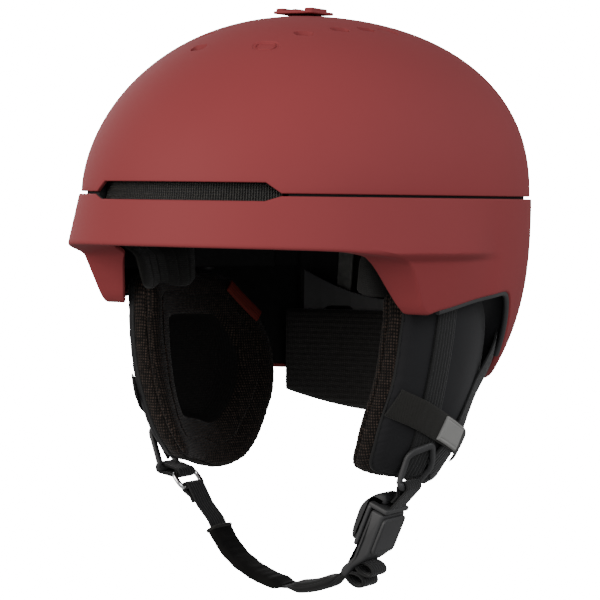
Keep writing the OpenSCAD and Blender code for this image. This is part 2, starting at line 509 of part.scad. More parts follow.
// A rectangle of wire with round corners, in the plane of Y and the way from ring_top to ring_low.
module strap_ring() color([0.8, 0.8, 0.82]) {
    half = web_wid / 2 + 1.6 + ring_d / 2;
    reach = norm(ring_low - ring_top) / 2;
    down = unit(ring_low - ring_top);
    mid = (ring_low + ring_top) / 2;
    r = 2.4;
    corner = [[1, 1, 0], [-1, 1, 90], [-1, -1, 180], [1, -1, 270]];
    skin([for (c = corner, k = [0:22.5:90]) let (a = c[2] + k,
        y = c[0] * (half - r) + r * cos(a), w = c[1] * (reach - r) + r * sin(a))
        [for (b = [0:36:324]) let (g = ring_d / 2 * cos(b), h = ring_d / 2 * sin(b), v = w + g * sin(a))
            [mid[0] + down[0] * v - down[1] * h, strap_y + y + g * cos(a), mid[1] + down[1] * v + down[0] * h]]],
        closed = true);
}
chin_points = [[-42.5, -171.5], [-37.5, -180], [-30, -188.8], [-19.5, -195.8], [-7, -200.6], [5, -202.6], [18, -201.4],
    [30, -197.4], [37.5, -192.6]];
chin_dir = unit([-46.5, -167.5] - ring_low);
module chin_webbing() color(black) {
    lead = fold(ring_low, chin_dir, ring_d, 12, 9);
    tail = [for (i = [len(chin_points) - 1:-1:0]) chin_points[i]];
    band_y(concat(tail, lead), web_wid, web_thk);
}
pad_path = [[-40.1, -176], [-37.5, -180], [-34.1, -184.5], [-30, -188.8], [-25.2, -192.5], [-19.5, -195.8],
    [-13.4, -198.5], [-7, -200.6], [-1, -201.9], [3.6, -202.5]];
module chin_pad() color(black) as_mesh() difference() {
    band_y(pad_path, web_wid + 4, 6.4);
    band_y(concat([pad_path[0] + [-3, 5]], pad_path, [pad_path[9] + [6, 0]]), web_wid + 0.6, web_thk + 1.4);
}

// ---------- buckle: n points outwards, z up along the strap ----------
buckle_at = [62, -172];
buckle_tilt = 22.6;
body_wid = 24;
body_thk = 8;
collar = [12.4, 15.2];              // the catch's collar above the buckle's body
module at_buckle() translate([buckle_at[0], strap_y, buckle_at[1]]) rotate([0, buckle_tilt, 0]) children();
module side_cut(width, points) rotate([90, 0, 0]) linear_extrude(width, center = true) polygon(points);
module plate(half_y, low, high, n0, n1, r) hull() for (s = [-1, 1], z = [low + r, high - r])
    translate([n0, s * (half_y - r), z]) rotate([0, 90, 0]) cylinder(r = r, h = n1 - n0, $fn = 32);
module buckle_body() color(black) at_buckle() difference() {
    side_cut(body_wid, [[-9.6, 12], [-1.6, 12], [-1.6, -11], [-3.4, -14.5], [-8.4, -21], [-11, -28.5], [-14.6, -28],
        [-14.6, -24.5], [-9.6, -15.5]]);
    for (s = [-1, 1]) translate([-5, s * 16.5, -24]) rotate([s * 14, 0, 0]) cube([24, 8, 26], center = true);
    translate([-14.7, -web_wid / 2 - 0.4, -29]) cube([1.9, web_wid + 0.8, 9.5]);
    translate([-9.7, -6, -7]) cube([2.6, 12, 12]);
}
module buckle_cover() color(black) at_buckle() plate(body_wid / 2 - 0.6, -10, 10.4, -1.6, 0, 2.5);
module body_magnet() color(grey) at_buckle() translate([-9.6, -5.8, -6.8]) cube([2.4, 11.6, 11.6]);
module buckle_catch() color(black) at_buckle() {
    difference() {
        side_cut(body_wid, [[-12.2, -9], [-10, -9], [-10, collar[0]], [-0.6, collar[0]], [-0.6, collar[1]],
            [-12.2, collar[1]]]);
        translate([-4.4, -web_wid / 2 - 0.4, collar[0] - 1]) cube([3.2, web_wid + 0.8, 5]);
        translate([-12.3, -6, -7]) cube([2.4, 12, 12]);
    }
}
module catch_magnet() color(grey) at_buckle() translate([-12.2, -5.8, -6.8]) cube([2, 11.6, 11.6]);
module catch_grip() color(black) at_buckle() side_cut(16, [[-5.2, collar[1]], [-5.6, 18.4], [-7.4, 20.4], [-10, 20.4],
    [-13, 18], [-17, 12.6], [-18.4, 8], [-17.8, -4], [-16.4, -8], [-13.6, -8.6], [-12.3, -6.5], [-12.3, collar[1]]]);
// The webbing that hangs the catch from the divider's bar, on the wearer's left.
module catch_webbing() color(black) {
    bar = [divider_bar[0], divider_bar[2]];
    slot = buckle_at + turned([-2.8, collar[0] + 0.4], -buckle_tilt);
    dir = unit(slot - bar);
    band_y(fold(bar, dir, bar_d, norm(slot - bar), 10), web_wid, web_thk);
}
// The spare webbing, rolled up in two elastic loops under the buckle.
module slack_rolls() color(black) at_buckle() translate([0, -strap_y, 0])
    for (c = [[-0.5, -20.8], [-2.2, -28.9]])
        band_y([for (a = [10:25:335]) c + [5.6 * cos(a), 3 * sin(a)]], web_wid, 1.3);

// ---------- goggle strap hook at the back ----------
hook_y = back_len + seam_step + 0.2;
hook_pin = [hook_y + 4.9, -17];
pin_d = 2.5;
module goggle_hook_base() color(black) difference() {
    union() {
        translate([-12, hook_y, -40]) cube([24, 2.2, 27]);
        for (s = [-1, 1]) translate([s * 10.6 - 1.4, hook_y + 1, -20]) cube([2.8, 7, 6]);
    }
    translate([-13, hook_pin[0], hook_pin[1]]) rotate([0, 90, 0]) cylinder(d = pin_d, h = 26, $fn = 32);
}
module goggle_hook_pin() color(grey) translate([-12, hook_pin[0], hook_pin[1]]) rotate([0, 90, 0])
    cylinder(d = pin_d, h = 24, $fn = 32);
module goggle_hook() color(black) difference() {
    union() {
        translate([-9, hook_pin[0], hook_pin[1]]) rotate([0, 90, 0]) cylinder(d = 5, h = 18, $fn = 48);
        translate([-8, hook_pin[0] - 0.6, -48]) cube([16, 2.6, 31]);
        translate([-8, hook_y + 2.6, -48]) cube([16, 3, 2.6]);
    }
    translate([-10, hook_pin[0], hook_pin[1]]) rotate([0, 90, 0]) cylinder(r = pin_d / 2 + 0.05, h = 20, $fn = 48);
}

upper_shell();
lower_shell();
impact_liner();
front_vent_grille();
slider_knob();
vent_shutter();
brow_pad();
crown_pad();
side_pad_left();
side_pad_right();
fit_halo();
halo_anchors();
rear_cradle();
cradle_strap_left();
cradle_strap_right();
dial_housing();
housing_screws();
lace();
nape_pad();
fit_dial();
dial_spindle();
ear_pad_left();
ear_pad_right();
pad_snaps();
pad_tabs();
strap_anchors();
front_strap_left();
front_strap_right();
rear_strap_left();
rear_strap_right();
divider_left();
divider_right();
pad_loop_left();
pad_loop_right();
badge_left();
badge_right();
strap_tab();
strap_ring();
chin_webbing();
chin_pad();
buckle_body();
buckle_cover();
body_magnet();
slack_rolls();
catch_webbing();
buckle_catch();
catch_magnet();
catch_grip();
goggle_hook_base();
goggle_hook();
goggle_hook_pin();
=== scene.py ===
"""A snow-sports helmet: its visible surfaces and finishes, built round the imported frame.

Shapes are worked out in millimetres in the helmet's own frame and written to meshes in metres.
+Z is up through the crown, the wearer faces -Y, and +X is the wearer's left.
"""
from __future__ import annotations

import logging
import math
from dataclasses import dataclass, field
from enum import Enum
from typing import Callable, Optional, Sequence

import bmesh
import bpy
import numpy as np
from mathutils import Matrix, Vector


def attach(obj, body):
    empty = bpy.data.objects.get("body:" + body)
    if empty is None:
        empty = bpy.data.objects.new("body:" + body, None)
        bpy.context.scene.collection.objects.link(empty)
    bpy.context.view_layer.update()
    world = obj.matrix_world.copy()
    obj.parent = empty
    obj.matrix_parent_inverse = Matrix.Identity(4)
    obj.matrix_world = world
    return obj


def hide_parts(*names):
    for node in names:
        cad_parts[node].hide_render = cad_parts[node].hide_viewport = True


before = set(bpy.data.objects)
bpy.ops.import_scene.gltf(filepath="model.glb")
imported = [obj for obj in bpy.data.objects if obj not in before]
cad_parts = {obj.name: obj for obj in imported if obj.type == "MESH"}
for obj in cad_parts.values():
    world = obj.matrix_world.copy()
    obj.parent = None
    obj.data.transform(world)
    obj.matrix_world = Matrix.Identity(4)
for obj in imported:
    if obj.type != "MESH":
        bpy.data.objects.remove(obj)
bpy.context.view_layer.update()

LOG = logging.getLogger("helmet")
MM = 0.001
Array = np.ndarray


# ---------------------------------------------------------------------------------------------
# Curves and surfaces
# ---------------------------------------------------------------------------------------------
def smooth(t: Array) -> Array:
    """A step from 0 to 1 with level ends: t squared times (3 - 2t), t held between 0 and 1."""
    t = np.clip(t, 0.0, 1.0)
    return t * t * (3.0 - 2.0 * t)


def lerp(a: Array, b: Array, t: Array) -> Array:
    """The point a share t of the way from a to b."""
    return a + (b - a) * t


def spline(rows: Array, steps: int, closed: bool = False) -> Array:
    """Points of a Catmull-Rom curve through the rows.

    Args:
        rows: the curve's own points, one to a row.
        steps: how many points each span gets.
        closed: whether the last row joins the first.

    Returns:
        The curve's points; an open curve ends on its last row.
    """
    p = np.asarray(rows, float)
    if closed:
        a, b, c, d = np.roll(p, 1, 0), p, np.roll(p, -1, 0), np.roll(p, -2, 0)
    else:
        ends = np.vstack([2 * p[0] - p[1], p, 2 * p[-1] - p[-2]])
        a, b, c, d = ends[:-3], ends[1:-2], ends[2:-1], ends[3:]
    t = (np.arange(steps) / steps)[None, :, None]
    a, b, c, d = (q[:, None, :] for q in (a, b, c, d))
    out = 0.5 * (2 * b + (c - a) * t + (2 * a - 5 * b + 4 * c - d) * t**2 + (3 * b - a - 3 * c + d) * t**3)
    out = out.reshape(-1, p.shape[1])
    return out if closed else np.vstack([out, p[-1]])


def resample(path: Array, count: int) -> Array:
    """The same curve with count points evenly spaced along its length."""
    gaps = np.linalg.norm(np.diff(path, axis=0), axis=1)
    length = np.concatenate([[0.0], np.cumsum(gaps)])
    at = np.linspace(0.0, length[-1], count)
    return np.stack([np.interp(at, length, path[:, k]) for k in range(path.shape[1])], 1)


def along(points: Array, axis: int) -> Array:
    """Distance run along one axis of a grid of points, from its first row, averaged over the other axis."""
    gaps = np.linalg.norm(np.diff(points, axis=axis), axis=2).mean(axis=1 - axis)
    return np.concatenate([[0.0], np.cumsum(gaps)])


def unit(v: Array) -> Array:
    """Vectors of length one, taken along the last axis."""
    return v / np.maximum(np.linalg.norm(v, axis=-1, keepdims=True), 1e-9)


# ---------------------------------------------------------------------------------------------
# Meshes
# ---------------------------------------------------------------------------------------------
class Maker:
    """Turns arrays of points into finished pieces that ride on the frame."""

    def __init__(self) -> None:
        """Starts with no piece made."""
        self.made: list[str] = []

    def mesh(self, name: str, points: Array, faces: list, uv: Optional[Array] = None,
             slots: Optional[Array] = None, sharp: float = 40.0) -> bpy.types.Object:
        """Makes an object of a mesh.

        Args:
            name: the piece's name.
            points: its vertices, in millimetres.
            faces: its faces, as lists of vertex numbers.
            uv: one pair for each corner of each face, in metres, or None.
            slots: the material slot of each face, or None for the first.
            sharp: the angle between faces, in degrees, past which an edge stays sharp.

        Returns:
            The object, linked to the scene at the origin.
        """
        data = bpy.data.meshes.new(name)
        data.from_pydata((np.asarray(points) * MM).tolist(), [], faces)
        if uv is not None:
            layer = data.uv_layers.new(name="run")
            layer.data.foreach_set("uv", np.asarray(uv, np.float32).ravel())
        if slots is not None:
            for _ in range(int(np.max(slots)) + 1):
                data.materials.append(None)
            data.polygons.foreach_set("material_index", np.asarray(slots, np.int32))
        obj = bpy.data.objects.new(name, data)
        bpy.context.scene.collection.objects.link(obj)
        self.tidy(obj, sharp)
        return obj

    def tidy(self, obj: bpy.types.Object, sharp: float = 40.0) -> None:
        """Merges doubles, turns faces outwards and shades smooth up to the sharp angle."""
        bm = bmesh.new()
        bm.from_mesh(obj.data)
        bmesh.ops.remove_doubles(bm, verts=bm.verts, dist=1e-6)
        bmesh.ops.dissolve_degenerate(bm, edges=bm.edges, dist=1e-6)
        bmesh.ops.recalc_face_normals(bm, faces=bm.faces)
        bm.to_mesh(obj.data)
        bm.free()
        obj.data.polygons.foreach_set("use_smooth", np.ones(len(obj.data.polygons), bool))
        obj.data.set_sharp_from_angle(angle=math.radians(sharp))
        obj.data.update()

    def grid(self, name: str, points: Array, wrap: tuple[bool, bool] = (False, False),
             caps: bool = False, slots: Optional[Array] = None, sharp: float = 40.0) -> bpy.types.Object:
        """Makes a surface from a grid of points.

        Args:
            name: the piece's name.
            points: an array of shape (rows, columns, 3), in millimetres.
            wrap: whether the last row joins the first, and the last column the first.
            caps: whether the first and last rows are closed with a face each.
            slots: the material slot of each face, shaped like the faces' own grid.
            sharp: the angle past which an edge stays sharp.

        Returns:
            The object. Its UV map runs in metres along the rows (v) and the columns (u).
        """
        m, n = points.shape[:2]
        i = np.arange(m if wrap[0] else m - 1)
        j = np.arange(n if wrap[1] else n - 1)
        ii, jj = np.meshgrid(i, j, indexing="ij")
        i1, j1 = (ii + 1) % m, (jj + 1) % n
        quads = np.stack([ii * n + jj, ii * n + j1, i1 * n + j1, i1 * n + jj], -1).reshape(-1, 4)
        wide = np.concatenate([points, points[:1]], 0) if wrap[0] else points
        wide = np.concatenate([wide, wide[:, :1]], 1) if wrap[1] else wide
        v, u = along(wide, 0) * MM, along(wide, 1) * MM
        uv = np.stack([np.stack([u[jj], u[jj + 1], u[jj + 1], u[jj]], -1),
                       np.stack([v[ii], v[ii], v[ii + 1], v[ii + 1]], -1)], -1).reshape(-1, 2)
        faces = quads.tolist()
        marks = None if slots is None else list(np.asarray(slots).ravel())
        if caps:
            ends = [list(range(n))[::-1], list(range((m - 1) * n, m * n))]
            faces += ends
            uv = np.vstack([uv, np.zeros((2 * n, 2))])
            marks = None if marks is None else marks + [marks[0], marks[-1]]
        return self.mesh(name, points.reshape(-1, 3), faces, uv, marks, sharp)

    def band(self, name: str, top: Array, under: Array, **more: object) -> bpy.types.Object:
        """A closed flat band: its top surface from side to side, then its underside back again."""
        ring = np.concatenate([top, under[:, ::-1]], 1)
        return self.grid(name, ring, wrap=(False, True), caps=True, **more)

    def block(self, name: str, size: Sequence[float], radius: float, place: Callable[[Array], Array],
              cuts: int = 10, sharp: float = 60.0) -> bpy.types.Object:
        """A rounded block: a cube's grid held inside a smaller box, then pushed out by the radius.

        Args:
            name: the piece's name.
            size: its three whole sizes, in millimetres.
            radius: the rounding of its edges.
            place: takes the block's own points, about its middle, to their place in the helmet.
            cuts: how many squares each side of the cube's grid has.
            sharp: the angle past which an edge stays sharp.

        Returns:
            The object.
        """
        t = np.sin(np.linspace(-1, 1, cuts + 1) * math.pi / 2)
        a, b = np.meshgrid(t, t, indexing="ij")
        one = np.ones_like(a)
        sides = [np.stack(s, -1) for s in ((one, a, b), (-one, b, a), (b, one, a), (a, -one, b), (a, b, one),
                                           (b, a, -one))]
        half = np.asarray(size, float) / 2
        cube = np.concatenate([s.reshape(-1, 3) for s in sides]) * half
        core = np.clip(cube, -(half - radius), half - radius)
        points = core + unit(cube - core) * radius
        n = cuts + 1
        ii, jj = np.meshgrid(np.arange(cuts), np.arange(cuts), indexing="ij")
        quad = np.stack([ii * n + jj, (ii + 1) * n + jj, (ii + 1) * n + jj + 1, ii * n + jj + 1],
                        -1).reshape(-1, 4)
        faces = np.concatenate([quad + k * n * n for k in range(6)]).tolist()
        return self.mesh(name, place(points), faces, sharp=sharp)

    def slab(self, name: str, outline: Array, half: float, radius: float,
             place: Callable[[Array], Array], sharp: float = 45.0) -> bpy.types.Object:
        """A plate of a given outline with rounded edges.

        The outline is drawn in by radius * (1 - cos a) as the plate's side turns over by the angle a.

        Args:
            name: the piece's name.
            outline: closed outline, in the plate's own two axes.
            half: half the plate's thickness.
            radius: the rounding of its two edges.
            place: takes (outline x, outline y, thickness) to the place in the helmet.
            sharp: the angle past which an edge stays sharp.

        Returns:
            The object.
        """
        way = unit(np.roll(outline, -1, 0) - np.roll(outline, 1, 0))
        inward = np.stack([-way[:, 1], way[:, 0]], 1)
        area = np.sum(outline[:, 0] * np.roll(outline[:, 1], -1) - np.roll(outline[:, 0], -1) * outline[:, 1])
        inward *= np.sign(area)
        turn = np.radians(np.linspace(0, 90, 6))
        lower = [(outline + inward * radius * (1 - math.sin(a)),
                  -half + radius * (1 - math.cos(a))) for a in turn]
        upper = [(ring, -level) for ring, level in lower[::-1]]
        rings = [np.column_stack([ring, np.full(len(ring), level)]) for ring, level in lower + upper]
        return self.grid(name, place(np.array(rings)), wrap=(False, True), caps=True, sharp=sharp)

    def cut(self, obj: bpy.types.Object, cutters: list[bpy.types.Object], sharp: float = 35.0) -> None:
        """Takes the cutters, joined as one, away from a piece."""
        bm = bmesh.new()
        for cutter in cutters:
            bm.from_mesh(cutter.data)
        tool_mesh = bpy.data.meshes.new("cutter")
        bm.to_mesh(tool_mesh)
        bm.free()
        tool = bpy.data.objects.new("cutter", tool_mesh)
        bpy.context.scene.collection.objects.link(tool)
        mod = obj.modifiers.new("cut", "BOOLEAN")
        mod.operation, mod.solver, mod.object = "DIFFERENCE", "EXACT", tool
        deps = bpy.context.evaluated_depsgraph_get()
        data = bpy.data.meshes.new_from_object(obj.evaluated_get(deps))
        obj.modifiers.clear()
        obj.data = data
        for spent in cutters + [tool]:
            bpy.data.objects.remove(spent)
        obj.data.polygons.foreach_set("use_smooth", np.ones(len(obj.data.polygons), bool))
        obj.data.set_sharp_from_angle(angle=math.radians(sharp))

    def finish(self, obj: bpy.types.Object, materials: Sequence[bpy.types.Material], body: str,
               slot: str, stands_for: Sequence[str] = ()) -> bpy.types.Object:
        """Dresses a piece and fastens it to the body that it moves with."""
        index = np.empty(len(obj.data.polygons), np.int32)
        obj.data.polygons.foreach_get("material_index", index)
        obj.data.materials.clear()
        for material in materials:
            obj.data.materials.append(material)
        obj.data.polygons.foreach_set("material_index", np.minimum(index, len(materials) - 1))
        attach(obj, body)
        if stands_for:
            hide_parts(*stands_for)
        self.made.append(obj.name)
        LOG.info("%s: %d faces on %s", obj.name, len(obj.data.polygons), body)
        return obj


# ---------------------------------------------------------------------------------------------
# The shell's form
# ---------------------------------------------------------------------------------------------
@dataclass(frozen=True)
class ShellForm:
    """The outer surface that both hard shells, the foam and the pads follow.

    Angles are round Z from the front.
    """

    half_width: float = 108.0
    front: float = 130.0
    back: float = 136.0
    crown: float = 93.0
    wall: float = 2.4
    step: float = 1.0
    flare: float = 6.0
    brim_depth: float = 27.0
    cheek_tuck: float = 7.7
    tuck: float = 18.0
    tuck_depth: float = 90.0

    def plan(self, ph: Array, d: Array) -> Array:
        """The superellipse at the parting line, |sin/w|^n + |cos/l|^n = 1, at a depth d."""
        s = -np.cos(ph)
        length = np.where(s < 0, self.front, self.back) - d
        n = 2.14 + 0.06 * s
        return (np.abs(np.sin(ph) / (self.half_width - d))**n + np.abs(s / length)**n)**(-1.0 / n)

    def dome(self, ph: Array, z: Array, d: Array) -> Array:
        """The radius above the parting line: plan times (1 - (z/h)^m)^(1/2.17), m leaning back to front."""
        share = np.clip(np.clip(z, 0, None) / (self.crown - d), 0, 1)
        return self.plan(ph, d) * np.clip(1 - share**(2.08 - 0.4 * np.cos(ph)), 0, 1)**(1 / 2.17)

    def lower(self, ph: Array, z: Array, d: Array, step: Array) -> Array:
        """The radius below the parting line: the brim flares, the cheeks step in, sides and back tuck in."""
        front = smooth((np.cos(ph) + 0.05) / 0.4)
        cheek = smooth((np.cos(ph) + 0.15) / 0.5)
        deep = np.clip(-z, 0, None)
        return (self.plan(ph, d) + step + front * self.flare * np.clip(deep / self.brim_depth, 0, 1)
                - (1 - front) * self.tuck * (deep / self.tuck_depth)**2.8
                - cheek * (self.flare * 0.9 * smooth((deep - self.brim_depth) / 5)
                           + self.cheek_tuck * np.clip((deep - self.brim_depth - 3) / 28, 0, 1)))

    def point(self, ph: Array, z: Array, d: Array = 0.0, step: Array = 0.0) -> Array:
        """The place at an angle in degrees, a height and a depth; step is the lower shell's stand-off."""
        ph, z, d, step = np.broadcast_arrays(*(np.asarray(v, float) for v in (ph, z, d, step)))
        a = np.radians(ph)
        r = np.where(z > 0, self.dome(a, z, d), self.lower(a, z, d, step))
        return np.stack([r * np.sin(a), -r * np.cos(a), z], -1)


FORM = ShellForm()

# The rim on the wearer's left, front to back: angle at the parting line, angle at the rim, height of the rim,
# width of its inturned lip, direction of the lip.
RIM = np.array([
    [0, 0, -25.4, 24, 0], [12, 12, -25.5, 24, 12], [21.4, 21.4, -25.7, 24, 21.4], [24.8, 24.8, -25.8, 24, 26],
    [37, 38, -26.6, 24, 45], [47, 49, -28.8, 24, 66], [51.5, 54.5, -31.4, 24, 80], [54.5, 57, -36, 22, 86],
    [58, 59.8, -46, 18, 88], [61.5, 62.2, -54.6, 14, 88], [65, 64.8, -57.8, 12, 88], [70, 70, -55.8, 5, 88],
    [83, 84, -51.8, 4, 90], [95, 98, -48.7, 4, 98], [101, 104.3, -48.4, 4, 104], [105, 107.8, -51.5, 3, 108],
    [109.5, 112, -61, 3, 112], [115, 117.5, -75, 3, 118], [122, 124.5, -88.5, 3, 125],
    [134, 136, -96.5, 4, 136],
    [145, 146, -98, 6, 146], [155, 156, -98, 6, 156], [168, 168, -97, 6, 168], [180, 180, -96.5, 6, 180]],
               float)


def rim_loop(steps: int) -> Array:
    """The rim's rows all the way round, steps to a span; the last column is the side, 1 or -1."""
    half = spline(RIM, steps)
    left = np.column_stack([half, np.ones(len(half))])
    right = np.column_stack([half[-2:0:-1], -np.ones(len(half) - 2)])
    return np.vstack([left, right])


def edge_round(depth: float, radius: float, steps: int = 5) -> Array:
    """Pairs of (depth, set-back) round the two corners of a wall's edge, from its face to its far side."""
    a = np.radians(np.linspace(0, 90, steps))
    first = np.stack([radius * (1 - np.cos(a)), radius * (1 - np.sin(a))], 1)
    return np.vstack([first, np.stack([depth - first[::-1, 0], first[::-1, 1]], 1)])


def pill(length: float, width: float, steps: int = 10) -> Array:
    """The outline of a slot with round ends, its length along the first axis."""
    a = np.radians(np.linspace(-90, 90, steps))
    half = np.stack([(length - width) / 2 + width / 2 * np.cos(a), width / 2 * np.sin(a)], 1)
    return np.vstack([half, -half])


def rounded(corners: Sequence[Sequence[float]], radius: float, steps: int = 5) -> Array:
    """A polygon with each corner turned into a parabola's arc that starts the radius away from it."""
    p = np.asarray(corners, float)
    before, after = np.roll(p, 1, 0) - p, np.roll(p, -1, 0) - p
    r0 = np.minimum(radius, 0.45 * np.linalg.norm(before, axis=1))[:, None]
    r1 = np.minimum(radius, 0.45 * np.linalg.norm(after, axis=1))[:, None]
    start, end = p + unit(before) * r0, p + unit(after) * r1
    t = np.linspace(0, 1, steps)[None, :, None]
    arcs = (1 - t)**2 * start[:, None] + 2 * t * (1 - t) * p[:, None] + t**2 * end[:, None]
    return arcs.reshape(-1, 2)


def bend(start: Array, corner: Array, end: Array, steps: int) -> list[Array]:
    """Rows of points along the parabola from start to end that the corner pulls at, ends included."""
    return [(1 - t)**2 * start + 2 * t * (1 - t) * corner + t**2 * end for t in np.linspace(0, 1, steps)]


# ---------------------------------------------------------------------------------------------
# Finishes
# ---------------------------------------------------------------------------------------------
class Graph:
    """A short way to add and join shader nodes in one tree."""

    def __init__(self, tree: bpy.types.NodeTree) -> None:
        """Keeps the tree that nodes are added to."""
        self.tree = tree

    def add(self, kind: str, values: Optional[dict] = None, **settings: object) -> bpy.types.Node:
        """Adds a node.

        Args:
            kind: the node's type, without its leading ShaderNode.
            values: input name or number to a constant, or to the socket that feeds it.
            settings: the node's own properties.

        Returns:
            The node.
        """
        node = self.tree.nodes.new(kind if kind.startswith("Node") else "ShaderNode" + kind)
        for key, value in settings.items():
            setattr(node, key, value)
        for key, value in (values or {}).items():
            if isinstance(value, bpy.types.NodeSocket):
                self.tree.links.new(value, node.inputs[key])
            else:
                node.inputs[key].default_value = value
        return node

    def math(self, operation: str, a: object, b: object = 0.0) -> bpy.types.NodeSocket:
        """The result of a sum of two values."""
        return self.add("Math", {0: a, 1: b}, operation=operation).outputs[0]


class Groups:
    """The effects that several finishes share."""

    def __init__(self) -> None:
        """Builds the three groups."""
        self.grain = self._grain()
        self.weave = self._weave()
        self.ribs = self._ribs()

    @staticmethod
    def _start(name: str, inputs: dict[str, float], outputs: Sequence[str]) -> tuple[Graph, bpy.types.Node,
                                                                                     bpy.types.Node]:
        """A new group with a vector input, number inputs and number outputs."""
        tree = bpy.data.node_groups.new(name, "ShaderNodeTree")
        tree.interface.new_socket("Vector", in_out="INPUT", socket_type="NodeSocketVector")
        for key, value in inputs.items():
            socket = tree.interface.new_socket(key, in_out="INPUT", socket_type="NodeSocketFloat")
            socket.default_value = value
        for key in outputs:
            tree.interface.new_socket(key, in_out="OUTPUT", socket_type="NodeSocketFloat")
        graph = Graph(tree)
        return graph, graph.add("NodeGroupInput"), graph.add("NodeGroupOutput")

    def _grain(self) -> bpy.types.NodeTree:
        """Moulded or sprayed grain: a fine noise for the height and a broad one for the shade."""
        g, i, o = self._start("grain", {"Scale": 900.0, "Broad": 18.0}, ("Height", "Shade"))
        fine = g.add("TexNoise", {"Vector": i.outputs["Vector"], "Scale": i.outputs["Scale"], "Detail": 2.0})
        broad = g.add("TexNoise", {"Vector": i.outputs["Vector"], "Scale": i.outputs["Broad"], "Detail": 3.0})
        g.tree.links.new(fine.outputs[0], o.inputs["Height"])
        g.tree.links.new(broad.outputs[0], o.inputs["Shade"])
        return g.tree

    def _weave(self) -> bpy.types.NodeTree:
        """A square weave: threads along both axes, one pitch apart, with holes between them."""
        g, i, o = self._start("weave", {"Pitch": 0.0016}, ("Height", "Thread"))
        split = g.add("SeparateXYZ", {0: i.outputs["Vector"]})
        waves = []
        for axis in (0, 1):
            turn = g.math("MULTIPLY", g.math("DIVIDE", split.outputs[axis], i.outputs["Pitch"]), math.pi)
            waves.append(g.math("ABSOLUTE", g.math("SINE", turn)))
        height = g.math("MAXIMUM", g.math("POWER", waves[0], 2.0), g.math("POWER", waves[1], 2.0))
        uneven = g.add("TexNoise", {"Vector": i.outputs["Vector"], "Scale": 420.0, "Detail": 1.0})
        thread = g.math("MULTIPLY", g.math("MULTIPLY", waves[0], waves[1]), uneven.outputs[0])
        g.tree.links.new(height, o.inputs["Height"])
        g.tree.links.new(thread, o.inputs["Thread"])
        return g.tree

    def _ribs(self) -> bpy.types.NodeTree:
        """Webbing: ribs along its length, crossed by finer threads in a slant."""
        g, i, o = self._start("ribs", {"Pitch": 0.0022, "Slant": 0.0}, ("Height", "Thread"))
        split = g.add("SeparateXYZ", {0: i.outputs["Vector"]})
        across = g.math("ADD", split.outputs[0], g.math("MULTIPLY", split.outputs[1], i.outputs["Slant"]))
        rib = g.math("ABSOLUTE", g.math("SINE", g.math("MULTIPLY", g.math("DIVIDE", across,
                                                                          i.outputs["Pitch"]), math.pi)))
        pick = g.math("ABSOLUTE", g.math("SINE", g.math("MULTIPLY", split.outputs[1], math.pi / 0.0009)))
        height = g.math("ADD", g.math("POWER", rib, 0.6), g.math("MULTIPLY", pick, 0.25))
        g.tree.links.new(height, o.inputs["Height"])
        g.tree.links.new(rib, o.inputs["Thread"])
        return g.tree


class Coat(Enum):
    """What gives a finish its relief."""

    GRAIN = "grain"
    WEAVE = "weave"
    RIBS = "ribs"


@dataclass(frozen=True)
class Finish:
    """One finish: its two colours, gloss and relief. Lengths are in metres."""

    low: tuple[float, float, float]
    high: tuple[float, float, float]
    rough: tuple[float, float]
    coat: Coat = Coat.GRAIN
    values: dict = field(default_factory=dict)
    relief: float = 0.2
    depth: float = 0.0002
    metal: float = 0.0
    sheen: float = 0.0
    specular: float = 0.5
    by_run: bool = False


